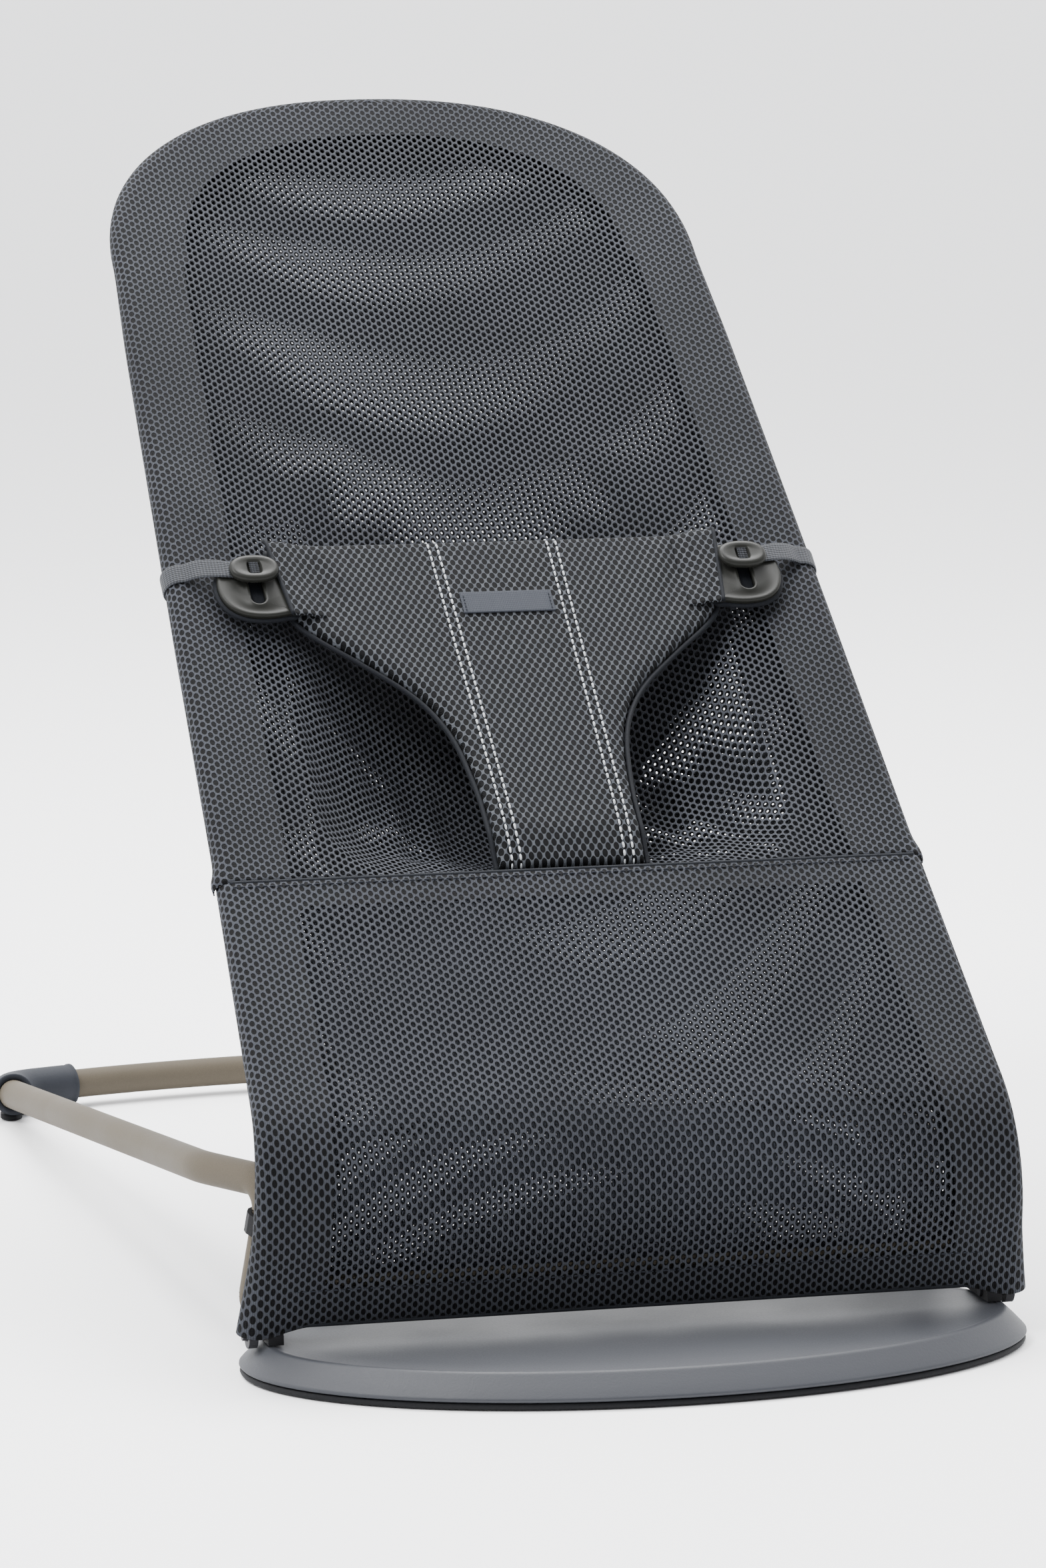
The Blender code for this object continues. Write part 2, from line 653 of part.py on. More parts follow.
def slot_plate(side, tag):
    """Rounded plate sewn to the harness wing, with the slot the toggle slides in."""
    outline = [(side * x, s) for x, s in
               ((0.1080, 0.3160), (0.1150, 0.3125), (0.1270, 0.3110), (0.1380, 0.3130),
                (0.1455, 0.3190), (0.1490, 0.3290), (0.1480, 0.3400), (0.1430, 0.3480),
                (0.1350, 0.3515), (0.1240, 0.3520), (0.1140, 0.3505), (0.1080, 0.3460))]
    body = slab("slot_plate_" + tag, outline, PLATE_N0, PLATE_N1, "toggle_plastic", SEAT)
    high, low = TOGGLE_S + 0.0040, TOGGLE_S - 0.0208
    slot = [(TOGGLE_X - 0.0036, high), (TOGGLE_X + 0.0036, high), (TOGGLE_X + 0.0036, low + 0.0038),
            (TOGGLE_X + 0.0022, low + 0.0010), (TOGGLE_X, low), (TOGGLE_X - 0.0022, low + 0.0010),
            (TOGGLE_X - 0.0036, low + 0.0038)]
    tool = slab("slot_cut_" + tag, [(side * x, s) for x, s in slot], PLATE_N0 - 0.002,
                PLATE_N1 + 0.002, "toggle_plastic", SEAT)
    boolean(body, tool, "DIFFERENCE")


def toggle(side, tag):
    """Oval toggle: a disc with a window, a neck through the slot and a small keeper below."""
    cx = side * TOGGLE_X
    origin = seat_point(cx, TOGGLE_S, 0.0)
    disc = slab("toggle_" + tag, oval(cx, TOGGLE_S, 0.0128, 0.0088, 28, 2.4), DISC_N0, DISC_N1,
                "toggle_plastic", SEAT, origin=origin)
    neck = slab("toggle_neck_" + tag, oval(cx, TOGGLE_S, 0.0029, 0.0029, 16), PLATE_N0 - 0.0012,
                DISC_N0 + 0.001, "toggle_plastic", SEAT)
    keeper = slab("toggle_keeper_" + tag, oval(cx + side * 0.0005, TOGGLE_S, 0.0072, 0.0055, 20),
                  PLATE_N0 - 0.0024, PLATE_N0 - 0.0004, "toggle_plastic", SEAT)
    window = slab("toggle_window_" + tag, oval(cx - side * 0.0005, TOGGLE_S, 0.0044, 0.0045, 20, 8.0),
                  DISC_N1 - 0.0018, DISC_N1 + 0.002, "toggle_plastic", SEAT)
    boolean(disc, neck, "UNION")
    boolean(disc, keeper, "UNION")
    boolean(disc, window, "DIFFERENCE")


def strap(side, tag):
    """Webbing from round the covered side tube to the toggle."""
    axis = axis_half_width(STRAP_S)
    wrap = EDGE + 0.0010
    path = [(TOGGLE_X + 0.0034, TOGGLE_S, 0.0151), (0.1480, 0.3425, 0.0149), (0.1540, 0.3445, 0.0135),
            (0.1600, 0.3465, 0.0112)]
    for degrees in (84, 66, 48, 30, 12, -6):
        a = math.radians(degrees)
        path.append((axis + wrap * math.cos(a), STRAP_S, wrap * math.sin(a)))
    verts = [seat_point(side * x, s + ds, n) for x, s, n in path
             for ds in (-STRAP_WIDTH / 2, STRAP_WIDTH / 2)]
    faces = [(2 * i, 2 * i + 1, 2 * i + 3, 2 * i + 2) for i in range(len(path) - 1)]
    obj = mesh_object("strap_" + tag, verts, faces, "webbing", SEAT)
    mod = obj.modifiers.new("webbing", "SOLIDIFY")
    mod.thickness, mod.offset = 0.0012, 0.0


build_plate()
build_bow()
build_seat_frame()
build_cover()
build_harness()
for obj in list(PARTS.objects) + list(CUTTERS.objects):
    if obj.parent is None:
        obj.location.y -= LENGTH / 2
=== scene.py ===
"""Looks for the bouncer seat: mesh cover, padded net harness, webbing, tubes, rubber and plastic.

Metres, +Z up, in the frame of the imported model.  "Seat coordinates" are (x, s, n): across, along
the side profile from the knee of the seat frame, and out of the front of the seat.
"""

import math

import bmesh
import bpy
from mathutils import Matrix, Vector
from mathutils.bvhtree import BVHTree


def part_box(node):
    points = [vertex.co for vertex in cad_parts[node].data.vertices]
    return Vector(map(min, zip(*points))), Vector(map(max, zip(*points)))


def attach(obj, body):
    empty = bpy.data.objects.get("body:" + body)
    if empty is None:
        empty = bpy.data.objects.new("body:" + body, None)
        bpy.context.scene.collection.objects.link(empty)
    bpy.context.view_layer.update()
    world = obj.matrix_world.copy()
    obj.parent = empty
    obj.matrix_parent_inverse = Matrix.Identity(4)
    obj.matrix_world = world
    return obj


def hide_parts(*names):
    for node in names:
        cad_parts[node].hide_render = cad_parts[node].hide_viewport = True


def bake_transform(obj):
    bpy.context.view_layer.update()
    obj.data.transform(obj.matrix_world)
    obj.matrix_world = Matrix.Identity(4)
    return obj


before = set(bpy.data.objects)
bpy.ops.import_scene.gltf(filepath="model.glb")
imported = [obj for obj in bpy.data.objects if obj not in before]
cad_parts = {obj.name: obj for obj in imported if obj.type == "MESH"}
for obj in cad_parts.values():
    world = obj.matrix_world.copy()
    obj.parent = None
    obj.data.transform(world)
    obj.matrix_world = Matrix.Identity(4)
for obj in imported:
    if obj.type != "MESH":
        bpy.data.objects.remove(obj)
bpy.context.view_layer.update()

# ---- dimensions, from the frame
FRONT_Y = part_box("base_plate")[0][1]  # front edge of the floor plate
SEAT_TILT = math.radians(39.5)  # of the straight part of the seat
KNEE = Vector((0.0, FRONT_Y + 0.1155, 0.1255))  # s = 0: the straight part ends, the bend begins
BEND_R = 0.060
BEND_ANGLE = math.radians(67.5)
S_BEND = -BEND_R * BEND_ANGLE
S_HEM = -0.0960  # lower edge of the rear cloth
S_FRONT_HEM = -0.1068  # the front hangs a little lower
S_SEAM = 0.1390  # seam between back and apron
S_ARCH = 0.5810  # start of the round head
ARCH_A, ARCH_B, ARCH_N = 0.1543, 0.1225, 2.3  # the head's half-width, height and roundness
S_APEX = S_ARCH + ARCH_B
# (s, half-width) of the covered seat
HALF_WIDTH = ((-0.1023, 0.1950), (-0.0707, 0.1925), (-0.030, 0.1895), (0.0, 0.1872),
              (0.154, 0.1800), (0.30, 0.1748), (0.44, 0.1690), (0.52, 0.1656), (0.581, 0.1618))
WRAP_R = 0.0071  # outside of the cloth round the side tube
AXIS_INSET = 0.0075  # from the cover's edge to the side tube's axis
CLOTH_T = 0.0007
BAND = 0.029  # width of the doubled edge
SEAM_BAND = 0.017
PITCH = 0.0056  # hole spacing of the mesh
NET_PITCH = 0.0042  # and of the harness net

TOGGLE_X, TOGGLE_S, STRAP_S = 0.1295, 0.3400, 0.3475
STRAP_WIDTH = 0.0124


# ---- seat surface
def clamp(value):
    return min(max(value, 0.0), 1.0)


def interpolate(table, value):
    if value <= table[0][0]:
        return table[0][1]
    for (a, va), (b, vb) in zip(table, table[1:]):
        if value <= b:
            return va + (vb - va) * (value - a) / (b - a)
    return table[-1][1]


def smooth(table, value):
    """Like interpolate, but rounded at the table's points."""
    reach = 0.012
    weights = ((-1.0, 0.15), (-0.5, 0.2), (0.0, 0.3), (0.5, 0.2), (1.0, 0.15))
    return sum(w * interpolate(table, value + reach * k) for k, w in weights)


def profile(s):
    """Point (y, z) of the side profile and the angle of its front normal."""
    normal = math.pi / 2 + SEAT_TILT
    if s >= 0.0:
        return Vector((KNEE.y + math.cos(SEAT_TILT) * s, KNEE.z + math.sin(SEAT_TILT) * s)), normal
    centre = Vector((KNEE.y, KNEE.z)) - Vector((math.cos(normal), math.sin(normal))) * BEND_R
    angle = normal + min(-s, -S_BEND) / BEND_R
    point = centre + Vector((math.cos(angle), math.sin(angle))) * BEND_R
    if s < S_BEND:
        point = point + Vector((-math.sin(angle), math.cos(angle))) * (S_BEND - s)
    return point, angle


def seat_point(x, s, n):
    point, angle = profile(s)
    return Vector((x, point.x + n * math.cos(angle), point.y + n * math.sin(angle)))


SEAT_MATRIX = Matrix.Translation(seat_point(0, 0, 0)) @ Matrix.Rotation(SEAT_TILT, 4, "X")


def half_width(s):
    """Half-width of the side tube's axis, the head arch included."""
    up = clamp((s - S_ARCH) / ARCH_B)
    side = smooth(HALF_WIDTH, min(s, S_ARCH)) - AXIS_INSET
    return side * (1.0 - up ** ARCH_N) ** (1 / ARCH_N)


def arch(t):
    """(half-width, s) on the head arch, from its start at t = 0 to the apex at t = 1."""
    angle = t * math.pi / 2
    side = smooth(HALF_WIDTH, S_ARCH) - AXIS_INSET
    power = 2 / ARCH_N
    return side * max(math.cos(angle), 0.0) ** power, S_ARCH + ARCH_B * math.sin(angle) ** power


def edge_distance(x, s):
    """Rough distance in metres from the covered edge, measured on the cloth."""
    side = max(half_width(min(s, S_APEX - 1e-4)) - abs(x), 0.0)
    if s < S_ARCH:
        return side
    radial = (abs(x) / ARCH_A) ** ARCH_N + (max(s - S_ARCH, 0.0) / ARCH_B) ** ARCH_N
    return max((1.0 - radial ** (1 / ARCH_N)) * 0.5 * (ARCH_A + ARCH_B), 0.0)


# ---- material building
class Look:
    """A Principled material with short helpers for its node tree."""

    def __init__(self, name, colour, rough, **sockets):
        self.mat = bpy.data.materials.new(name)
        self.mat.use_nodes = True
        self.tree = self.mat.node_tree
        self.shader = self.tree.nodes["Principled BSDF"]
        self.set("Base Color", (*colour, 1.0))
        self.set("Roughness", rough)
        for socket, value in sockets.items():
            self.set(socket.replace("_", " "), value)

    def set(self, socket, value):
        self.shader.inputs[socket].default_value = value

    def link(self, out, socket):
        self.tree.links.new(out, socket)

    def feed(self, out, socket):
        self.link(out, self.shader.inputs[socket])

    def node(self, kind, **values):
        made = self.tree.nodes.new(kind)
        for key, value in values.items():
            setattr(made, key, value)
        return made

    def math(self, operation, a, b=None, c=None, clamp=False):
        made = self.node("ShaderNodeMath", operation=operation, use_clamp=clamp)
        for i, value in enumerate((a, b, c)):
            if value is None:
                continue
            if isinstance(value, (int, float)):
                made.inputs[i].default_value = value
            else:
                self.link(value, made.inputs[i])
        return made.outputs[0]

    def add(self, a, b):
        return self.math("ADD", a, b)

    def times(self, a, b):
        return self.math("MULTIPLY", a, b)

    def wave(self, value, period):
        """Sine of a place, one turn each `period`."""
        return self.math("SINE", self.times(value, 2 * math.pi / period))

    def ramp(self, value, low, high, to_low=0.0, to_high=1.0):
        made = self.node("ShaderNodeMapRange", interpolation_type="SMOOTHSTEP")
        self.link(value, made.inputs["Value"])
        made.inputs["From Min"].default_value = low
        made.inputs["From Max"].default_value = high
        made.inputs["To Min"].default_value = to_low
        made.inputs["To Max"].default_value = to_high
        return made.outputs[0]

    def mix(self, factor, a, b):
        made = self.node("ShaderNodeMix", data_type="RGBA")
        self.link(factor, made.inputs["Factor"])
        for slot, value in ((6, a), (7, b)):
            if isinstance(value, tuple):
                made.inputs[slot].default_value = (*value, 1.0)
            else:
                self.link(value, made.inputs[slot])
        return made.outputs[2]

    def tint(self, value, low, high, dark, light):
        """Base colour from `dark` to `light` as the value goes from low to high."""
        self.feed(self.mix(self.ramp(value, low, high), dark, light), "Base Color")

    def place(self):
        return self.node("ShaderNodeTexCoord").outputs["Object"]

    def noise(self, scale, detail=2.0, rough=0.5):
        made = self.node("ShaderNodeTexNoise")
        made.inputs["Scale"].default_value = scale
        made.inputs["Detail"].default_value = detail
        made.inputs["Roughness"].default_value = rough
        self.link(self.place(), made.inputs["Vector"])
        return made.outputs["Fac"]

    def bump(self, height, distance):
        made = self.node("ShaderNodeBump")
        made.inputs["Distance"].default_value = distance
        self.link(height, made.inputs["Height"])
        self.feed(made.outputs[0], "Normal")

    def coordinates(self, attribute):
        """Three outputs of a stored vector, or of the object's own place."""
        split = self.node("ShaderNodeSeparateXYZ")
        if attribute:
            source = self.node("ShaderNodeAttribute", attribute_name=attribute).outputs["Vector"]
        else:
            source = self.place()
        self.link(source, split.inputs[0])
        return split.outputs[0], split.outputs[1], split.outputs[2]


def tinted(colour, factor):
    return tuple(c * factor for c in colour)


def lattice(look, u, v, pitch, tall, oval):
    """Distance, in pitches, to the nearest hole of a staggered lattice of upright ovals."""
    found = []
    for offset in (0.0, 0.5):
        legs = []
        for value, step in ((u, pitch), (v, pitch * tall)):
            cell = look.math("FRACT", look.add(look.math("DIVIDE", value, step), offset + 64.0))
            legs.append(look.math("SUBTRACT", cell, 0.5))
        across = look.times(legs[0], legs[0])
        along = look.times(look.times(legs[1], legs[1]), (tall * oval) ** 2)
        found.append(look.math("SQRT", look.add(across, along)))
    return look.math("MINIMUM", found[0], found[1])


def mesh_look(name, colour, dark, hole):
    """Open knitted mesh: staggered oval holes, closed where the cloth is doubled; each hole and a ring round
    it are painted dark as shade in their depth.
    """
    look = Look(name, colour, 0.75, Sheen_Weight=0.02, Sheen_Roughness=0.5, Specular_IOR_Level=0.08)
    u, v, edge = look.coordinates("weave")
    distance = lattice(look, u, v, PITCH, 0.88, 0.66)
    solid = look.ramp(distance, hole - 0.025, hole + 0.025)
    rim = look.ramp(distance, hole + 0.01, hole + 0.06)
    wales, courses = look.wave(u, PITCH / 6), look.wave(v, PITCH / 8)
    yarn = look.add(look.times(wales, 0.14), look.times(courses, 0.06))
    tone = look.add(look.noise(9.0, 3.0), look.times(yarn, 1.2))
    base = look.mix(look.ramp(tone, 0.25, 0.75), tinted(colour, 0.82), tinted(colour, 1.30))
    # Painted shade: the holes and a narrow ring round each darken towards `dark`, which shows fully where the
    # doubled cloth closes the holes.
    look.feed(look.mix(rim, dark, base), "Base Color")
    band = look.ramp(edge, 0.0, 0.0006, 1.0, 0.0)
    look.feed(look.math("MAXIMUM", solid, band), "Alpha")
    look.bump(look.add(rim, yarn), 0.00045)
    return look.mat


def net_look():
    """Padded net: pale yarn, its holes painted near-black as shade in the pad's depth; upright oval holes in
    staggered rows.
    """
    look = Look("harness_net", (0.035, 0.039, 0.046), 0.75, Sheen_Weight=0.02, Specular_IOR_Level=0.08)
    x, s, _ = look.coordinates(None)
    distance = lattice(look, x, s, NET_PITCH, 1.6, 0.66)
    yarn = look.ramp(distance, 0.305, 0.345)
    strands = look.wave(look.add(x, s), 0.0009)
    tone = look.ramp(look.noise(300.0, 2.0), 0.3, 0.7)
    bright = look.mix(tone, (0.044, 0.048, 0.056), (0.063, 0.068, 0.077))
    # Painted shade: near-black holes standing in for the shade inside the pad.
    look.feed(look.mix(yarn, (0.0008, 0.0009, 0.0013), bright), "Base Color")
    look.bump(look.add(yarn, look.times(strands, 0.12)), 0.00060)
    return look.mat


def webbing_look():
    """Narrow woven tape: ribs across it and a finer warp."""
    look = Look("webbing", (0.04, 0.044, 0.052), 0.70, Sheen_Weight=0.05, Specular_IOR_Level=0.25)
    along, across, _ = look.coordinates("weave")
    weave = look.add(look.times(look.wave(along, 0.0016), 0.6), look.times(look.wave(across, 0.0013), 0.4))
    look.tint(weave, -0.9, 0.9, (0.008, 0.009, 0.0115), (0.028, 0.031, 0.038))
    look.bump(weave, 0.00022)
    return look.mat


def label_look():
    """Fine plain weave."""
    look = Look("label_cloth", (0.03, 0.033, 0.04), 0.60, Sheen_Weight=0.02, Specular_IOR_Level=0.10)
    x, s, _ = look.coordinates(None)
    weave = look.times(look.add(look.wave(s, 0.0007), look.wave(x, 0.0009)), 0.5)
    look.tint(weave, -1.0, 1.0, (0.016, 0.018, 0.024), (0.034, 0.038, 0.048))
    look.bump(weave, 0.00010)
    return look.mat


def thread_look(name, colour):
    look = Look(name, colour, 0.65, Sheen_Weight=0.02, Specular_IOR_Level=0.06)
    twist = look.noise(1500.0, 1.0)
    look.tint(twist, 0.35, 0.65, tinted(colour, 0.75), colour)
    look.bump(twist, 0.00008)
    return look.mat


def steel_look(name, colour, rough):
    """Satin paint with a fine flake, faint orange peel and small changes of gloss."""
    look = Look(name, colour, rough, Specular_IOR_Level=0.03)
    flake = look.noise(2600.0, 1.0)
    tone = look.noise(14.0, 3.0)
    shade = look.add(look.times(flake, 0.6), look.times(tone, 0.4))
    look.tint(shade, 0.35, 0.65, tinted(colour, 0.90), tinted(colour, 1.08))
    look.feed(look.ramp(tone, 0.3, 0.7, rough - 0.04, rough + 0.06), "Roughness")
    look.bump(look.noise(420.0, 2.0), 0.00004)
    return look.mat


def plastic_look(name, colour, rough, grain=1400.0, depth=0.00006, spread=0.10, gloss=0.35):
    """Moulded plastic with a fine sparked grain and faint handling marks."""
    look = Look(name, colour, rough, Specular_IOR_Level=gloss)
    grains = look.noise(grain, 2.0, rough=0.65)
    tone = look.noise(11.0, 4.0)
    look.tint(tone, 0.3, 0.7, tinted(colour, 1 - spread), tinted(colour, 1 + spread))
    wear = look.add(look.times(tone, 0.7), look.times(grains, 0.3))
    look.feed(look.ramp(wear, 0.3, 0.7, rough - 0.06, rough + 0.08), "Roughness")
    look.bump(grains, depth)
    return look.mat


YARN = (0.0310, 0.0335, 0.0405)
INNER = (0.0110, 0.0120, 0.0148)  # cloth in the shade between the two layers
# Painted shade: near-black colour standing in for the shade in a hole's depth.
HOLE_SHADE = (0.0010, 0.0011, 0.0015)  # depth of a hole, where the mesh is doubled
MATS = {
    "front": mesh_look("mesh_front", YARN, HOLE_SHADE, 0.185),
    "rear": mesh_look("mesh_rear", YARN, HOLE_SHADE, 0.096),
    "rear_inner": mesh_look("mesh_rear_inner", INNER, HOLE_SHADE, 0.096),
    "apron": mesh_look("mesh_apron", YARN, HOLE_SHADE, 0.175),
    "apron_back": mesh_look("mesh_apron_back", YARN, HOLE_SHADE, 0.055),
    "apron_inner": mesh_look("mesh_apron_inner", tinted(INNER, 3.4), INNER, 0.055),
    "net": net_look(),
    "webbing": webbing_look(),
    "label": label_look(),
    "white_thread": thread_look("thread_white", (0.48, 0.50, 0.52)),
    "dark_thread": thread_look("thread_dark", (0.020, 0.022, 0.028)),
    # Near-black cloth: the wing's bound edge and tab, and the painted shadow lines along the pad's edges.
    "binding_and_shadow_line": thread_look("binding_and_shadow_line_cloth", (0.008, 0.009, 0.0115)),
    "edge_cloth": thread_look("edge_cloth", (0.014, 0.0155, 0.019)),
    "steel": steel_look("champagne_paint", (0.078, 0.067, 0.051), 0.50),
    "dark_steel": steel_look("dark_paint", (0.03, 0.03, 0.033), 0.40),
    "plate": plastic_look("plate_grey", (0.0255, 0.0275, 0.0335), 0.55, 900.0, 0.00007, 0.05),
    "black": plastic_look("moulded_black", (0.006, 0.006, 0.007), 0.55, gloss=0.10),
    "toggle": plastic_look("toggle_satin", (0.0105, 0.0108, 0.0094), 0.34, 2200.0, 0.00002, 0.05, 0.12),
    "rubber": plastic_look("rubber_grey", (0.017, 0.019, 0.024), 0.65, 800.0, 0.00010, gloss=0.15),
    "pad": plastic_look("rubber_dark", (0.005, 0.0052, 0.0065), 0.70, 800.0, 0.00010, gloss=0.2),
}


# ---- mesh building
def build(name, verts, faces, mat, weave=None, matrix=None, merge=0.0):
    """Smooth mesh object; `weave` holds one vector per vertex for the cloth pattern."""
    mesh = bpy.data.meshes.new(name)
    mesh.from_pydata([tuple(v) for v in verts], [], faces)
    if weave:
        layer = mesh.attributes.new("weave", "FLOAT_VECTOR", "POINT")
        layer.data.foreach_set("vector", [c for w in weave for c in w])
    work = bmesh.new()
    work.from_mesh(mesh)
    if merge:
        bmesh.ops.remove_doubles(work, verts=work.verts, dist=merge)
    bmesh.ops.recalc_face_normals(work, faces=work.faces)
    work.to_mesh(mesh)
    work.free()
    mesh.shade_smooth()
    mesh.materials.append(mat)
    obj = bpy.data.objects.new(name, mesh)
    bpy.context.scene.collection.objects.link(obj)
    if matrix:
        obj.matrix_world = matrix
    return obj


def grid_faces(rows, columns, start=0, wrap=False):
    faces = []
    for i in range(rows - 1):
        for j in range(columns if wrap else columns - 1):
            k = (j + 1) % columns
            a, b = start + i * columns, start + (i + 1) * columns
            faces.append((a + j, a + k, b + k, b + j))
    return faces


def loft_faces(rows, sides, start=0):
    """Faces of a closed loft of `rows` rings, with both ends capped."""
    last = start + (rows - 1) * sides
    caps = [tuple(range(end, end + sides)) for end in (start, last)]
    return grid_faces(rows, sides, start, wrap=True) + caps


def add_bevel(obj, width, angle):
    mod = obj.modifiers.new("edge", "BEVEL")
    mod.width, mod.segments, mod.limit_method = width, 2, "ANGLE"
    mod.angle_limit = math.radians(angle)


def solidify(obj, thickness):
    mod = obj.modifiers.new("thickness", "SOLIDIFY")
    mod.thickness, mod.offset = thickness, 0.0


def cross_frame(tangent):
    """Two directions across a tangent, the second as near to straight up as it can be."""
    side = tangent.cross(Vector((0, 0, 1)))
    if side.length < 1e-4:
        side = tangent.cross(Vector((0, 1, 0)))
    side.normalize()
    return side, side.cross(tangent).normalized()


def tangent_at(points, i):
    return (points[min(i + 1, len(points) - 1)] - points[max(i - 1, 0)]).normalized()


def ring(centre, side, up, radius, sides):
    angles = [2 * math.pi * j / sides for j in range(sides)]
    return [centre + side * (radius * math.cos(a)) + up * (radius * math.sin(a)) for a in angles]


def swept_tube(name, points, radius, mat, sides):
    """Round tube along the points, with flat closed ends."""
    verts = []
    for i, p in enumerate(points):
        verts += ring(p, *cross_frame(tangent_at(points, i)), radius, sides)
    return build(name, verts, loft_faces(len(points), sides), mat)


def rounded_path(corners, radii, step=6.0):
    """Polyline whose inner corners are arcs of the given radii, one point each `step` degrees."""
    path = [corners[0].copy()]
    for before, corner, after, radius in zip(corners, corners[1:], corners[2:], radii):
        a, b = (before - corner).normalized(), (after - corner).normalized()
        half = a.angle(b) / 2
        reach = radius / math.tan(half)
        centre = corner + (a + b).normalized() * (radius / math.sin(half))
        start, end = corner + a * reach, corner + b * reach
        count = max(3, int(math.ceil(math.degrees(math.pi - 2 * half) / step)))
        for i in range(count + 1):
            arm = (start - centre).normalized().slerp((end - centre).normalized(), i / count)
            path.append(centre + arm * radius)
    path.append(corners[-1].copy())
    return path


def mirrored(points):
    return [Vector((-p.x, p.y, p.z)) for p in points]


def point_along(run, lengths, distance):
    i = 0
    while i < len(lengths) - 1 and distance > lengths[i]:
        distance -= lengths[i]
        i += 1
    return run[i].lerp(run[i + 1], distance / lengths[i])


STITCH_RINGS = ((0.0, 0.35), (0.16, 0.9), (0.5, 1.0), (0.84, 0.9), (1.0, 0.35))  # (place, thickness)


def stitches(name, runs, mat, length=0.0026, gap=0.0011, radius=0.00042, matrix=None):
    """One mesh of small rounded stitches along several polylines."""
    verts, faces, sides = [], [], 6
    for run in runs:
        lengths = [(b - a).length for a, b in zip(run, run[1:])]
        total, at = sum(lengths), gap
        while at + length < total:
            a, b = point_along(run, lengths, at), point_along(run, lengths, at + length)
            side, up = cross_frame((b - a).normalized())
            faces += loft_faces(len(STITCH_RINGS), sides, len(verts))
            for f, scale in STITCH_RINGS:
                lift = up * (radius * 0.5 * math.sin(math.pi * f))
                verts += ring(a.lerp(b, f) + lift, side, up, radius * scale, sides)
            at += length + gap
    return build(name, verts, faces, mat, matrix=matrix)


# ---- mesh cover
# (s, depth) of the whole sag in the middle of the seat, and of the creased bowl's share of it
POCKET = ((0.139, 0.000), (0.150, 0.016), (0.172, 0.036), (0.205, 0.046), (0.240, 0.045),
          (0.290, 0.036), (0.350, 0.024), (0.420, 0.014), (0.500, 0.008), (0.600, 0.004), (0.71, 0.0))
BOWL = ((0.139, 0.000), (0.148, 0.010), (0.170, 0.026), (0.205, 0.034), (0.250, 0.030), (0.300, 0.018),
        (0.345, 0.006), (0.370, 0.0))
# (s, half-width) of the bowl
BOWL_HALF = ((0.139, 0.104), (0.160, 0.116), (0.174, 0.122), (0.239, 0.120), (0.318, 0.1166), (0.37, 0.112))

# Folds: (x0, s0, x1, s1, half-width, height); both sides, the right ones a little smaller
FOLDS = ((0.052, 0.236, 0.060, 0.156, 0.0060, 0.0030), (0.072, 0.226, 0.084, 0.156, 0.0065, 0.0026),
         (0.096, 0.262, 0.090, 0.190, 0.0085, 0.0030), (0.108, 0.300, 0.108, 0.220, 0.0060, 0.0022),
         (0.030, 0.430, 0.062, 0.372, 0.0160, 0.0014), (0.060, 0.450, 0.100, 0.385, 0.0140, 0.0016),
         (0.140, 0.310, 0.136, 0.200, 0.0060, 0.0010), (0.020, 0.170, 0.090, 0.162, 0.0060, 0.0022),
         (0.124, 0.340, 0.150, 0.420, 0.0070, 0.0014))


def fold_height(x, s):
    """Sum of the rounded folds at a point of the cloth."""
    total = 0.0
    for side, scale, slip in ((-1, 1.0, 0.0), (1, 0.75, 0.004)):
        for x0, s0, x1, s1, wide, high in FOLDS:
            a, b = Vector((side * x0, s0)), Vector((side * (x1 + slip), s1))
            along = b - a
            f = ((x - a.x) * along.x + (s - a.y) * along.y) / along.length_squared
            if not -0.1 < f < 1.1:
                continue
            near = a + along * f
            off = math.hypot(x - near.x, s - near.y) / wide
            if off > 3.0:
                continue
            fade = math.sin(math.pi * clamp((f + 0.1) / 1.2)) ** 0.8
            total += scale * high * fade * math.exp(-off * off)
    return total


def sag(x, s, scale=1.0, extra=0.0):
    """Depth of the cloth behind its frame: an even sag plus the bowl inside its two creases."""
    up = clamp((s - S_ARCH) / ARCH_B)
    width = max(half_width(min(s, S_APEX - 1e-4)), 1e-4)
    across = max(0.0, 1.0 - (abs(x) / width) ** 2)
    bowl_half = smooth(BOWL_HALF, s)
    inside = max(0.0, 1.0 - (abs(x) / bowl_half) ** 2.4)
    even = max(smooth(POCKET, s) - smooth(BOWL, s), 0.0)
    depth = even * across ** 1.2 + smooth(BOWL, s) * 1.12 * inside ** 0.85
    behind = extra * clamp((s - S_SEAM) / 0.03) * across
    return (depth * scale + behind) * (1.0 - up ** 2)


def hem_corner(s):
    """0 on the seat, rising to 1 at the front hem."""
    return clamp((-0.070 - s) / 0.037) ** 2


def edge_flare(s):
    """The doubled edge stands out a little at the seam's ends and at the front corners."""
    seam = math.exp(-((s - S_SEAM - 0.004) / 0.007) ** 2) if s >= S_SEAM else 0.0
    return 0.0022 * seam + 0.0028 * hem_corner(s)


def loop_rows(s0, s1, step, head=0):
    """(half-width, s, outward direction) of each row of a cover panel, head arch included."""
    reach = min(s1, S_ARCH) - s0
    count = max(2, int(round(reach / step)))
    places = [s0 + reach * i / count for i in range(count + 1)]
    rows = [(half_width(s), s) for s in places]
    if head:
        rows += [arch(1 - (1 - i / head) ** 1.35) for i in range(1, head)] + [arch(0.9995), arch(1.0)]
    found = []
    for i, (half, s) in enumerate(rows):
        a, b = rows[max(i - 1, 0)], rows[min(i + 1, len(rows) - 1)]
        tangent = Vector((b[0] - a[0], b[1] - a[1])).normalized()
        found.append((half, s, Vector((tangent.y, -tangent.x))))
    return found


def straight_grain(x, s):
    """Outer layer: the knitted rows run straight across."""
    return x, s


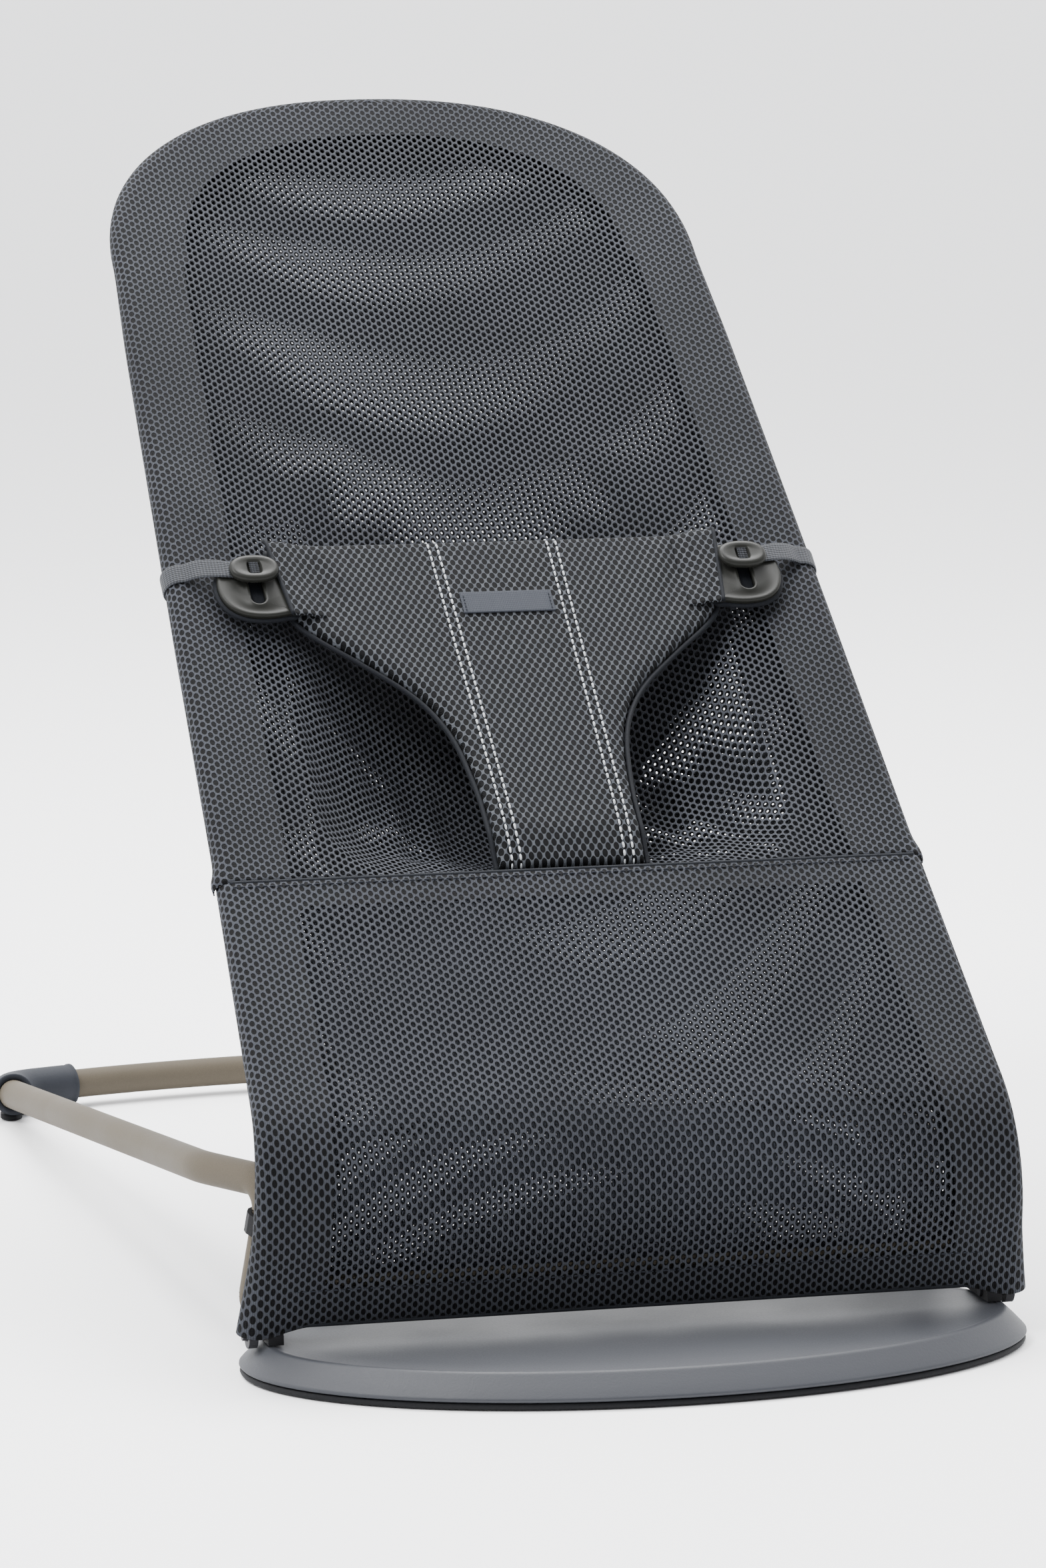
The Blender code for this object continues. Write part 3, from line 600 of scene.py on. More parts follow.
def bowed_grain(x, s):
    """Inner layer: knitted rows drawn down in the middle and stretched along the seat."""
    return x * 1.004, s / 1.07 + 0.40 * x * x


FRONT_SIDE = Vector((0.0, -1.0, 0.5))  # roughly out of the front of the cover
WRAP_STEPS = 8  # points of the cloth's turn round the side tube


def panel_row(half, s, out, sign, height, columns, wrap_to):
    """One row from edge to edge: its places (x, s, n), each with its place (u, v) on the flat cloth."""
    flare = edge_flare(s) if sign > 0 else 0.0
    edge = []
    for i in reversed(range(WRAP_STEPS)):
        degrees = 90 - (90 - wrap_to) * i / (WRAP_STEPS - 1)
        a = math.radians(degrees)
        c, n = (WRAP_R + flare) * math.cos(a), sign * WRAP_R * math.sin(a)
        edge.append((half + out.x * c, s + out.y * c, n, WRAP_R * math.radians(90 - degrees)))
    row = [(-x, y, n, -(half + run), y) for x, y, n, run in edge]
    for j in range(1, columns):
        x = half * (2.0 * j / columns - 1.0)
        row.append((x, s, sign * WRAP_R + height(x, s), x, s))
    return row + [(x, y, n, half + run, y) for x, y, n, run in reversed(edge)]


def line_panel(obj, mat, inner):
    """Gives the side that faces the front of the seat the `inner` material, and the other side `mat`."""
    facing = sum((p.normal.dot(FRONT_SIDE) * p.area for p in obj.data.polygons), 0.0)
    obj.data.materials.append(inner)
    if facing > 0.0:
        obj.data.materials[0], obj.data.materials[1] = inner, mat
    obj.modifiers["thickness"].material_offset = 1


def cloth_panel(name, rows, sign, height, mat, columns, wrap_to, edge_of, grain=straight_grain, inner=None):
    """Panel stretched over the frame; its edges go round the tube to `wrap_to` degrees."""
    verts, weave = [], []
    for half, s, out in rows:
        corner = hem_corner(s) if sign > 0 else 0.0
        for x, y, n, u, v in panel_row(half, s, out, sign, height, columns, wrap_to):
            near = corner * clamp((abs(x) - half + 0.034) / 0.030) ** 2
            verts.append(seat_point(x, y - 0.0048 * near, n + 0.0030 * near))
            weave.append((*grain(u, v), edge_of(x, s)))
    obj = build(name, verts, grid_faces(len(rows), columns - 1 + 2 * WRAP_STEPS), mat, weave)
    solidify(obj, CLOTH_T)
    if inner:
        line_panel(obj, mat, inner)
    return obj


# Each edge function is positive where the mesh is open, and falls below 0 where the cloth is doubled; for the
# rear back also where its holes are closed as painted shade.
def back_edge(x, s):
    return edge_distance(x, s) - BAND


def apron_edge(x, s):
    return min(edge_distance(x, s) - BAND, S_SEAM - SEAM_BAND - s, s - (S_FRONT_HEM + 0.0195))


def rear_edge(x, s):
    return min(edge_distance(x, s) - BAND, s - (S_HEM + 0.012))


def rear_edge_with_painted_shade(x, s):
    """The rear cloth is closed under the deepest part of the bowl and behind the harness too, out to 12 mm
    beside it: painted shade, dark cloth where the floor would show through.
    """
    round_bowl = math.hypot(x / 0.118, (s - 0.150) / 0.042)
    beside = abs(x) - harness_half(s) - 0.012 if s < HARNESS[-1][0] else 1.0
    return min(rear_edge(x, s), (round_bowl - 1.0) * 0.03, beside)


def apron_height(x, s):
    """Taut cloth: drawn in a little between the side tubes."""
    across = max(0.0, 1.0 - (x / 0.18) ** 2)
    up = math.sin(math.pi * clamp((s - S_HEM) / (S_SEAM - S_HEM)))
    return -0.0010 * across * up


def build_cover():
    """Four stretched panels: front and rear of the back, front and rear of the apron."""
    front = cloth_panel("cover_front_mesh", loop_rows(S_SEAM + 0.0001, S_APEX, 0.0030, 40), 1.0,
                        lambda x, s: fold_height(x, s) - sag(x, s), MATS["front"], 130, -22, back_edge)
    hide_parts("cover_back_panel", "cover_rim")
    apron = cloth_panel("cover_apron_mesh", loop_rows(S_FRONT_HEM, S_SEAM - 0.0001, 0.0040), 1.0,
                        apron_height, MATS["apron"], 60, -22, apron_edge)
    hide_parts("cover_apron")
    rear = cloth_panel("cover_rear_mesh", loop_rows(S_SEAM, S_APEX, 0.0045, 40), -1.0,
                       lambda x, s: -sag(x, s, 1.06, 0.0040), MATS["rear"], 80, 24, rear_edge_with_painted_shade, bowed_grain,
                       MATS["rear_inner"])
    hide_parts("cover_rear_panel")
    back = cloth_panel("cover_apron_back", loop_rows(S_HEM, S_SEAM, 0.0045), -1.0,
                       apron_height, MATS["apron_back"], 60, 24, rear_edge, bowed_grain,
                       MATS["apron_inner"])
    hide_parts("cover_rear_panel")
    for piece in (front, apron, rear, back):
        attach(piece, "seat")


def seam_and_hem():
    """Rolled seam across the cover, the stitching below it, and the rolled, stitched front hem."""
    half = half_width(S_SEAM) + 0.002
    spread = [2 * i / 60 - 1 for i in range(61)]
    roll = swept_tube("seat_seam_roll", [seat_point(half * f, S_SEAM, WRAP_R - 0.0002) for f in spread],
                      0.0010, MATS["edge_cloth"], sides=10)
    low = half_width(S_FRONT_HEM)
    hem = swept_tube("front_hem_roll", [seat_point(low * f, S_FRONT_HEM, WRAP_R) for f in spread], 0.0010,
                     MATS["edge_cloth"], sides=10)
    rows = [[seat_point(half * f, S_SEAM - 0.0035, WRAP_R + 0.00045) for f in spread],
            [seat_point(low * f, S_FRONT_HEM + 0.0185, WRAP_R + 0.0004) for f in spread]]
    lines = stitches("cover_stitching", rows, MATS["dark_thread"])
    for piece in (roll, hem, lines):
        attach(piece, "seat")


# ---- harness
# (s, half-width) of the pad, rounded by harness_half
HARNESS = ((0.1402, 0.0385), (0.190, 0.0395), (0.222, 0.0435), (0.240, 0.0490), (0.2590, 0.0600),
           (0.276, 0.0770), (0.293, 0.0950), (0.303, 0.1070), (0.312, 0.1130), (0.340, 0.1175),
           (0.3660, 0.1185))
PAD_LOW, PAD_HIGH = 0.0036, 0.0104  # n of the pad's back and front
# Puckers beside the slot plates: (x0, s0, x1, s1, half-width, height), on both sides
PUCKERS = ((0.104, 0.362, 0.088, 0.312, 0.0040, -0.0014), (0.110, 0.350, 0.098, 0.318, 0.0030, 0.0012),
           (0.092, 0.360, 0.080, 0.330, 0.0045, 0.0010))
# Radius of the near-black tube that paints a shadow line along each curved edge of the pad.
SHADOW_LINE_R = 0.0013


def harness_half(s):
    return sum(interpolate(HARNESS, s + 0.004 * k) for k in (-2, -1, 0, 1, 2)) / 5


def harness_lift(x, s):
    """Height of the pad over its flat place: drawn down behind the seam, puckered near the wings."""
    f = clamp((0.166 - s) / 0.025)
    lift = -0.0046 * f * f * (3 - 2 * f)
    for side in (-1, 1):
        for x0, s0, x1, s1, wide, high in PUCKERS:
            a, b = Vector((side * x0, s0)), Vector((side * x1, s1))
            along = b - a
            t = clamp((Vector((x, s)) - a).dot(along) / along.length_squared)
            off = (Vector((x, s)) - a - along * t).length / wide
            lift += high * math.exp(-off * off) * math.sin(math.pi * (0.15 + 0.7 * t))
    return lift


def build_harness_shape():
    """Closed pad in seat coordinates, thin at its edges, before it is blown up."""
    rows, columns = 90, 84
    s0, s1 = HARNESS[0][0], HARNESS[-1][0]
    front, back = [], []
    middle = (PAD_LOW + PAD_HIGH) / 2
    for i in range(rows):
        s = s0 + (s1 - s0) * i / (rows - 1)
        half = harness_half(s)
        ends = min(1.0, (s1 - s) / 0.0032, 0.35 + (s - s0) / 0.0100)
        for j in range(columns):
            u = 2 * j / (columns - 1) - 1
            u = math.copysign(1 - (1 - abs(u)) ** 1.15, u)
            rim = min(1.0, half * (1 - abs(u)) / 0.0030)
            full = math.sqrt(max(1 - (1 - min(rim, ends)) ** 2, 0.0))
            lift = harness_lift(half * u, s)
            front.append((half * u, s, middle + (PAD_HIGH - middle) * full + lift))
            back.append((half * u, s, middle - (middle - PAD_LOW) * full + lift))
    faces = grid_faces(rows, columns)
    faces += [tuple(reversed([v + rows * columns for v in f])) for f in grid_faces(rows, columns)]
    return build("harness_pad", front + back, faces, MATS["net"], matrix=SEAT_MATRIX, merge=1e-5)


SWELL_STEPS = 14


def blow_up(obj, voxel, pressure, cap):
    """Pad swollen by a short cloth simulation; each point moves no further than `cap`."""
    scene = bpy.context.scene
    mod = obj.modifiers.new("remesh", "REMESH")
    mod.mode, mod.voxel_size, mod.use_smooth_shade = "VOXEL", voxel, True
    graph = bpy.context.evaluated_depsgraph_get()
    remeshed = bpy.data.meshes.new_from_object(obj.evaluated_get(graph))
    obj.modifiers.clear()
    obj.data = remeshed
    before = [v.co.copy() for v in remeshed.vertices]
    cloth = obj.modifiers.new("cloth", "CLOTH")
    cloth.settings.use_pressure = True
    cloth.settings.uniform_pressure_force = pressure
    cloth.settings.effector_weights.gravity = 0.0
    cloth.settings.tension_stiffness = 40
    cloth.settings.compression_stiffness = 40
    for step in range(1, SWELL_STEPS + 1):
        scene.frame_set(step)
    graph = bpy.context.evaluated_depsgraph_get()
    result = bpy.data.meshes.new_from_object(obj.evaluated_get(graph))
    obj.modifiers.clear()
    scene.frame_set(1)
    for v, old in zip(result.vertices, before):
        move = v.co - old
        if move.length > cap:
            v.co = old + move.normalized() * cap
    obj.data = result
    result.shade_smooth()


def surface_of(pad):
    """Function giving the height of the pad's front at (x, s), in seat coordinates."""
    work = bmesh.new()
    work.from_mesh(pad.data)
    tree = BVHTree.FromBMesh(work)
    work.free()

    def height(x, s):
        hit = tree.ray_cast(Vector((x, s, 0.08)), Vector((0.0, 0.0, -1.0)))[0]
        return hit.z if hit else PAD_HIGH

    return height


def stitch_rows(height):
    """Two double rows of white stitches, from the seam to the top of the pad."""
    rows = []
    for side in (-1, 1):
        for inset in (0.0, 0.0046):
            run = []
            for i in range(61):
                s = 0.1425 + 0.2205 * i / 60
                x = side * (0.0340 - inset - 0.0028 * (0.358 - s) / 0.214)
                run.append(Vector((x, s, height(x, s) + 0.00025)))
            rows.append(run)
    return rows


def build_harness():
    """The pad, its stitching, the near-black tubes painted as shadow lines along its curved edges, and its
    label; returns the height of its front as a function.
    """
    pad = build_harness_shape()
    blow_up(pad, 0.0030, 3.0, 0.0014)
    height = surface_of(pad)
    mod = pad.modifiers.new("smooth", "SUBSURF")
    mod.levels = mod.render_levels = 1
    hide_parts("harness_panel")
    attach(pad, "seat")
    white = stitches("harness_stitching", stitch_rows(height), MATS["white_thread"], 0.0032, 0.0012, 0.00062,
                     SEAT_MATRIX)
    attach(white, "seat")
    build_edge_shadow_lines()
    build_label(height)
    return height


def build_edge_shadow_lines():
    """Narrow near-black tube along each of the pad's two curved edges: a painted shadow line."""
    points = []
    for i in range(90):
        s = HARNESS[0][0] + 0.002 + (HARNESS[-1][0] - 0.006 - HARNESS[0][0]) * i / 89
        x = harness_half(s) + 0.0002
        points.append(Vector((x, s, (PAD_LOW + PAD_HIGH) / 2 + harness_lift(x, s))))
    right = swept_tube("harness_edge_shadow_line", points, SHADOW_LINE_R, MATS["binding_and_shadow_line"], sides=10)
    left = swept_tube("harness_edge_shadow_line_left", mirrored(points), SHADOW_LINE_R, MATS["binding_and_shadow_line"], sides=10)
    for piece in (left, right):
        piece.matrix_world = SEAT_MATRIX
        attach(piece, "seat")


def superellipse(a, b, power, angle):
    c, s = math.cos(angle), math.sin(angle)
    return a * math.copysign(abs(c) ** (2 / power), c), b * math.copysign(abs(s) ** (2 / power), s)


def rounded_outline(cx, cs, a, b, power, count):
    found = []
    for j in range(count):
        x, s = superellipse(a, b, power, 2 * math.pi * j / count)
        found.append((cx + x, cs + s))
    return found


def stacked(outlines, heights, capped=True):
    """Vertices and faces of a loft through outlines of equal length, at the given heights."""
    rows, count = len(outlines), len(outlines[0])
    verts = [Vector((x, s, n)) for outline, n in zip(outlines, heights) for x, s in outline]
    return verts, loft_faces(rows, count) if capped else grid_faces(rows, count, wrap=True)


def build_label(height):
    """Plain woven label lying on the pad, sewn at its two ends."""
    verts, columns, rows = [], 33, 11
    for i in range(rows):
        for j in range(columns):
            x, s = 0.0242 * (2 * j / (columns - 1) - 1), 0.3170 + 0.0073 * (2 * i / (rows - 1) - 1)
            verts.append(Vector((x, s, height(x, s) + 0.0006)))
    label = build("sewn_label", verts, grid_faces(rows, columns), MATS["label"], matrix=SEAT_MATRIX)
    solidify(label, 0.0008)
    add_bevel(label, 0.0002, 35)
    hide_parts("harness_label")
    ends = [[Vector((side * 0.0226, s, height(side * 0.0226, s) + 0.0011)) for s in (0.3102, 0.3170, 0.3238)]
            for side in (-1, 1)]
    sewing = stitches("label_stitching", ends, MATS["dark_thread"], 0.0016, 0.0007, 0.0003, SEAT_MATRIX)
    for piece in (label, sewing):
        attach(piece, "seat")


# ---- buttons, slot plates, straps
# Outline (x, s) of the right slot plate, smoothed by closed_spline
SLOT_PLATE = ((0.1105, 0.3160), (0.1160, 0.3125), (0.1270, 0.3110), (0.1380, 0.3130), (0.1455, 0.3190),
              (0.1490, 0.3290), (0.1480, 0.3400), (0.1430, 0.3480), (0.1350, 0.3515), (0.1240, 0.3520),
              (0.1155, 0.3505), (0.1105, 0.3460))
PLATE_N0, PLATE_N1 = 0.0110, 0.0140  # n of the slot plate's back and front
DISC_N0, DISC_N1 = 0.0162, 0.0202  # n of the button's back and front
WING_FOLD = 0.0960  # x where the wing's end rises over the slot plate
FLAP_N = PLATE_N1 + 0.0009


def closed_spline(points, per_span):
    """Catmull-Rom curve through a closed outline."""
    found, count = [], len(points)
    for i in range(count):
        a, b, c, d = (Vector(points[(i + k) % count]) for k in (-1, 0, 1, 2))
        for j in range(per_span):
            t = j / per_span
            found.append(0.5 * ((2 * b) + (c - a) * t + (2 * a - 5 * b + 4 * c - d) * t * t
                                + (3 * b - a - 3 * c + d) * t ** 3))
    return found


def inset_outline(points, amount):
    """Outline moved inwards along its own normals (counter-clockwise input)."""
    found, count = [], len(points)
    for i, p in enumerate(points):
        tangent = (points[(i + 1) % count] - points[i - 1]).normalized()
        found.append(p + Vector((-tangent.y, tangent.x)) * amount)
    return found


def slot_outline(grow, count):
    """U-shaped slot: straight sides with round ends, grown outwards by `grow`."""
    low, high, r = TOGGLE_S - 0.0170, TOGGLE_S + 0.0004, 0.0036 + grow
    found = []
    for j in range(count):
        angle = 2 * math.pi * j / count
        c, s = math.cos(angle), math.sin(angle)
        found.append(Vector((TOGGLE_X + r * c, (high if s >= 0 else low) + r * s)))
    return found


def build_slot_plate(side, tag):
    """Rounded plate with a raised rim round its slot, sewn to the wing of the harness."""
    outer = closed_spline(SLOT_PLATE, 5)
    count = len(outer)
    slot = slot_outline(0.0, count)
    start = min(range(count), key=lambda k: (slot[k] - outer[0]).length)

    def slot_ring(grow):
        found = slot_outline(grow, count)
        return found[start:] + found[:start]

    layers = [(slot_ring(0.0), PLATE_N0), (outer, PLATE_N0), (outer, PLATE_N1 - 0.0010),
              (inset_outline(outer, 0.0004), PLATE_N1 - 0.0003), (inset_outline(outer, 0.0012), PLATE_N1),
              (inset_outline(outer, 0.0022), PLATE_N1 - 0.0002), (slot_ring(0.0022), PLATE_N1 - 0.0002),
              (slot_ring(0.0016), PLATE_N1 + 0.0006), (slot_ring(0.0005), PLATE_N1 + 0.0006),
              (slot_ring(0.0), PLATE_N1 + 0.0001)]
    verts = [Vector((side * p.x, p.y, n)) for outline, n in layers for p in outline]
    faces = grid_faces(len(layers), count, wrap=True)
    last = (len(layers) - 1) * count
    faces += [(last + j, last + (j + 1) % count, (j + 1) % count, j) for j in range(count)]
    plate = build("slot_plate_" + tag + "_shell", verts, faces, MATS["toggle"], matrix=SEAT_MATRIX)
    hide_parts("slot_plate_" + tag)
    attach(plate, "seat")


def build_wing_end(side, tag, height):
    """Cloth tab behind the slot plate, and the bound end of the wing over the plate's inner part."""
    outer = inset_outline(closed_spline(SLOT_PLATE, 5), -0.0016)
    layers = [(inset_outline(outer, 0.0006), PLATE_N0 - 0.0020), (outer, PLATE_N0 - 0.0014),
              (outer, PLATE_N0 - 0.0004), (inset_outline(outer, 0.0006), PLATE_N0 + 0.0002)]
    verts, faces = stacked([[(side * p.x, p.y) for p in line] for line, _ in layers], [n for _, n in layers])
    tab = build("wing_tab_" + tag, verts, faces, MATS["binding_and_shadow_line"], matrix=SEAT_MATRIX)
    low, high = Vector((0.1132, 0.3105)), Vector((0.1192, 0.3650))
    flap, bound, rows, columns = [], [], 30, 14
    for i in range(rows):
        edge = low.lerp(high, i / (rows - 1))
        drop = 0.0030 * max(0.0, 1.0 - (high.y - edge.y) / 0.0045) ** 2
        for j in range(columns):
            f = j / (columns - 1)
            rise = f * f * (3 - 2 * f)
            start = height(WING_FOLD, edge.y) + 0.0001
            n = start + (FLAP_N - start) * rise - drop - 0.0007 * math.sin(3 * math.pi * f) * rise
            flap.append(Vector((side * (WING_FOLD + (edge.x - WING_FOLD) * f), edge.y, n)))
        bound.append(Vector((side * (edge.x + 0.0004), edge.y, FLAP_N - drop)))
    cloth = build("wing_flap_" + tag, flap, grid_faces(rows, columns), MATS["net"], matrix=SEAT_MATRIX)
    solidify(cloth, 0.0009)
    edging = swept_tube("wing_binding_" + tag, bound, 0.0011, MATS["binding_and_shadow_line"], sides=10)
    edging.matrix_world = SEAT_MATRIX
    for piece in (tab, cloth, edging):
        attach(piece, "seat")


BUTTON_A, BUTTON_B = 0.0128, 0.0088  # half-width and half-height
# Rings from back to front: (inset, n) of the rim, (half-width, half-height, n) of window and neck
BUTTON_RIM = ((0.0012, DISC_N0), (0.0003, DISC_N0 + 0.0004), (0.0, DISC_N0 + 0.0012), (0.0, DISC_N1 - 0.0016),
              (0.0005, DISC_N1 - 0.0006), (0.0014, DISC_N1 - 0.0001), (0.0026, DISC_N1),
              (0.0036, DISC_N1 - 0.0002))
BUTTON_WINDOW = ((0.0042, 0.0048, DISC_N1 - 0.0003), (0.0036, 0.0042, DISC_N1 - 0.0009),
                 (0.0034, 0.0040, DISC_N1 - 0.0022))
BUTTON_NECK = ((0.0070, 0.0053, PLATE_N0 - 0.0024), (0.0072, 0.0055, PLATE_N0 - 0.0014),
               (0.0070, 0.0053, PLATE_N0 - 0.0005), (0.0030, 0.0030, PLATE_N0 - 0.0004),
               (0.0029, 0.0029, DISC_N0 + 0.0002))


def toggle_part(name, rings, cx, cs):
    """Loft through rounded rings (half-width, half-height, power, n, points) centred on (cx, cs)."""
    outlines = [rounded_outline(cx, cs, a, b, power, count) for a, b, power, _, count in rings]
    verts, faces = stacked(outlines, [n for _, _, _, n, _ in rings])
    return build(name, verts, faces, MATS["toggle"], matrix=SEAT_MATRIX)


def build_toggle(side, tag):
    """Oval button with a domed rim, a window for the webbing, and its neck through the slot."""
    cx, cs = side * TOGGLE_X, TOGGLE_S
    rim = [(BUTTON_A - inset, BUTTON_B - inset, 2.3, n, 72) for inset, n in BUTTON_RIM]
    window = [(a, b, 4.0, n, 72) for a, b, n in BUTTON_WINDOW]
    disc = toggle_part("toggle_" + tag + "_button", rim + window, cx, cs)
    neck = toggle_part("toggle_" + tag + "_neck", [(a, b, 2.0, n, 32) for a, b, n in BUTTON_NECK], cx, cs)
    for piece in (disc, neck):
        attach(piece, "toggle_" + tag)
    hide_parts("toggle_" + tag)
    ribbed_insert(tag, cx, cs)


def ribbed_insert(tag, cx, cs):
    """Webbing seen through the button's window, with ribs across it."""
    wide, tall, ribs = 0.0024, 0.0040, 6
    verts, weave = [], []
    rows, columns = 6 * ribs + 1, 3
    for i in range(rows):
        f = i / (rows - 1)
        n = DISC_N1 - 0.0017 + 0.0006 * abs(math.sin(math.pi * ribs * f))
        for j in range(columns):
            x, s = cx + wide * (2 * j / (columns - 1) - 1), cs + tall * (2 * f - 1)
            verts.append(Vector((x, s, n)))
            weave.append((x, s, 0.0))
    insert = build("toggle_" + tag + "_ribbon", verts, grid_faces(rows, columns), MATS["webbing"], weave,
                   matrix=SEAT_MATRIX)
    solidify(insert, 0.0004)
    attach(insert, "toggle_" + tag)


# (x, n) of the strap from under the button to the cover's doubled edge
STRAP_PATH = ((TOGGLE_X + 0.0034, 0.0151), (0.1420, 0.0151), (0.1475, 0.0149), (0.1530, 0.0137),
              (0.1575, 0.0121))


def build_strap(side, tag):
    """Webbing from under the button, over the wing's end and round the covered side tube."""
    axis = half_width(STRAP_S)
    wrap = WRAP_R + 0.0012
    corners = [*STRAP_PATH, (axis - 0.0045, 0.0099)]
    on_seat = len(corners)
    for degrees in range(100, -131, -10):
        a = math.radians(degrees)
        corners.append((axis + wrap * math.cos(a), wrap * math.sin(a)))
    verts, weave, run = [], [], 0.0
    columns = 7
    for i, (x, n) in enumerate(corners):
        if i:
            run += math.hypot(x - corners[i - 1][0], n - corners[i - 1][1])
        rise = clamp((x - TOGGLE_X) / (axis - 0.004 - TOGGLE_X)) if i <= on_seat else 1.0
        middle = TOGGLE_S + (STRAP_S - TOGGLE_S) * rise
        narrow = 0.80 + 0.20 * clamp((x - 0.135) / 0.012)
        for j in range(columns):
            across = STRAP_WIDTH * narrow * (j / (columns - 1) - 0.5)
            verts.append(seat_point(side * x, middle + across, n))
            weave.append((run, across, 0.0))
    faces = grid_faces(len(corners), columns)
    strap = build("strap_" + tag + "_webbing", verts, faces, MATS["webbing"], weave)
    solidify(strap, 0.0011)
    sub = strap.modifiers.new("smooth", "SUBSURF")
    sub.levels = sub.render_levels = 1
    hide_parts("strap_" + tag)
    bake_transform(strap)


# ---- bow, feet and plate
# Corners of the right half of the bow's axis, from the plate's socket to the rear cross bar
BOW_R = 0.0082
REAR_CORNER = Vector((0.1920, FRONT_Y + 0.7570, 0.0125))
RAIL_FRONT = Vector((0.1870, FRONT_Y + 0.2300, 0.0763))
BOW_KNEE = Vector((0.1640, FRONT_Y + 0.1720, 0.0790))
LEG_FOOT = Vector((0.1730, FRONT_Y + 0.1840, 0.0095))
LEG_END = Vector((0.1380, FRONT_Y + 0.1840, 0.0095))
REAR_BULGE = 0.030  # how far the rear cross bar bows out
BOW_BENDS = (0.0130, 0.014, 0.060, 0.026)  # bend radii, one for each inner corner
FOOT_R, RIM_R, MOUTH_R = 0.0115, 0.0119, 0.0112  # foot's outside: body, rim, rounded mouth


def rear_arc(count):
    """Right half of the bowed rear cross bar, from beside the foot to the middle."""
    radius = (REAR_CORNER.x ** 2 + REAR_BULGE ** 2) / (2 * REAR_BULGE)
    centre_y = REAR_CORNER.y + REAR_BULGE - radius
    xs = [0.142 * (1 - i / count) for i in range(count + 1)]
    return [Vector((x, centre_y + math.sqrt(radius ** 2 - x ** 2), REAR_CORNER.z)) for x in xs]


def build_bow():
    """One bent tube and its two rubber feet."""
    cross_bar = rear_arc(14)
    corners = [LEG_END, LEG_FOOT, BOW_KNEE, RAIL_FRONT, REAR_CORNER, cross_bar[0]]
    half = rounded_path(corners, BOW_BENDS) + cross_bar[1:]
    bow = swept_tube("spring_bow", half + mirrored(half[:-1])[::-1], BOW_R, MATS["steel"], sides=32)
    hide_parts("base_bow")
    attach(bow, "base")
    for side, tag in ((-1, "left"), (1, "right")):
        build_foot(side, tag)


def foot_path(side):
    """Axis of a foot: along the bow's rear corner and a little past both of its ends."""
    corner = rounded_path([RAIL_FRONT, REAR_CORNER, rear_arc(4)[0]], BOW_BENDS[-1:], 4.0)
    inner = corner[1:-1]
    back = (inner[0] - corner[0]).normalized()
    ahead = (corner[-1] - inner[-1]).normalized()
    path = [inner[0] - back * d for d in (0.0060, 0.0056, 0.0044, 0.0036, 0.0020)] + inner
    path += [inner[-1] + ahead * d for d in (0.0050, 0.0110, 0.0170, 0.0196, 0.0204, 0.0216, 0.0220)]
    return path if side > 0 else mirrored(path)


def build_foot(side, tag):
    """Rubber elbow over the bow's rear corner: rimmed mouths, round back and a flat pad."""
    path, sides = foot_path(side), 40
    count = len(path)
    rims = (MOUTH_R, RIM_R, RIM_R, 0.0113)
    outer = {**dict(enumerate(rims)), **{count - 1 - i: r for i, r in enumerate(rims)}}
    verts = []
    for i, p in enumerate(path):
        across, up = cross_frame(tangent_at(path, i))
        skin = ring(p, across, up, outer.get(i, FOOT_R), sides)
        for v in skin:
            if v.z < 0.0032:
                v.z = 0.0024 + 0.0008 * max(v.z, 0.0) / 0.0032
        verts += skin + ring(p, across, up, BOW_R + 0.0003, sides)
    faces = []
    for i in range(count - 1):
        a, b = 2 * sides * i, 2 * sides * (i + 1)
        for j in range(sides):
            k = (j + 1) % sides
            faces.append((a + j, a + k, b + k, b + j))
            faces.append((a + sides + k, a + sides + j, b + sides + j, b + sides + k))
    for base in (0, (count - 1) * 2 * sides):
        faces += [(base + j, base + sides + j, base + sides + (j + 1) % sides, base + (j + 1) % sides)
                  for j in range(sides)]
    foot = build("foot_elbow_" + tag, verts, faces, MATS["rubber"])
    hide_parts("bow_foot_" + tag)
    pad = build_pad(path, tag)
    for piece in (foot, pad):
        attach(piece, "base")


# Section of the grip pad: (share of its half-width, height)
PAD_SECTION = ((-1.0, 0.0030), (-1.0, 0.0008), (-0.86, 0.0), (0.86, 0.0), (1.0, 0.0008), (1.0, 0.0030))
PAD_HALF = 0.0062


def build_pad(path, tag):
    """Darker grip pad along the underside of the elbow, narrower towards its ends."""
    line = path[3:-2]
    verts, count = [], len(line)
    for i, p in enumerate(line):
        tangent = tangent_at(line, i)
        across = Vector((tangent.y, -tangent.x, 0.0)).normalized()
        fade = min(1.0, 0.35 + i * 0.3, 0.35 + (count - 1 - i) * 0.3)
        verts += [Vector((p.x, p.y, z)) + across * (PAD_HALF * fade * f) for f, z in PAD_SECTION]
    return build("foot_pad_" + tag, verts, loft_faces(count, len(PAD_SECTION)), MATS["pad"])


PLATE_A, PLATE_FRONT_B, PLATE_REAR_B = 0.1950, 0.1040, 0.0850
PLATE_MID_Y = FRONT_Y + PLATE_FRONT_B
# (inset, z): rounded lower edge, sloping flank, raised rim line, almost flat top
PLATE_SECTION = ((0.0060, 0.0033), (0.0030, 0.0033), (0.0008, 0.0036), (0.0, 0.0043), (0.0001, 0.0051),
                 (0.0007, 0.0058), (0.0014, 0.0066), (0.0055, 0.0108), (0.0096, 0.0146), (0.0102, 0.0152),
                 (0.0108, 0.0156), (0.0116, 0.0159), (0.0126, 0.0160), (0.0138, 0.01595), (0.0145, 0.0157),
                 (0.0152, 0.0156), (0.0300, 0.0156), (0.0600, 0.0157), (0.0800, 0.0158))
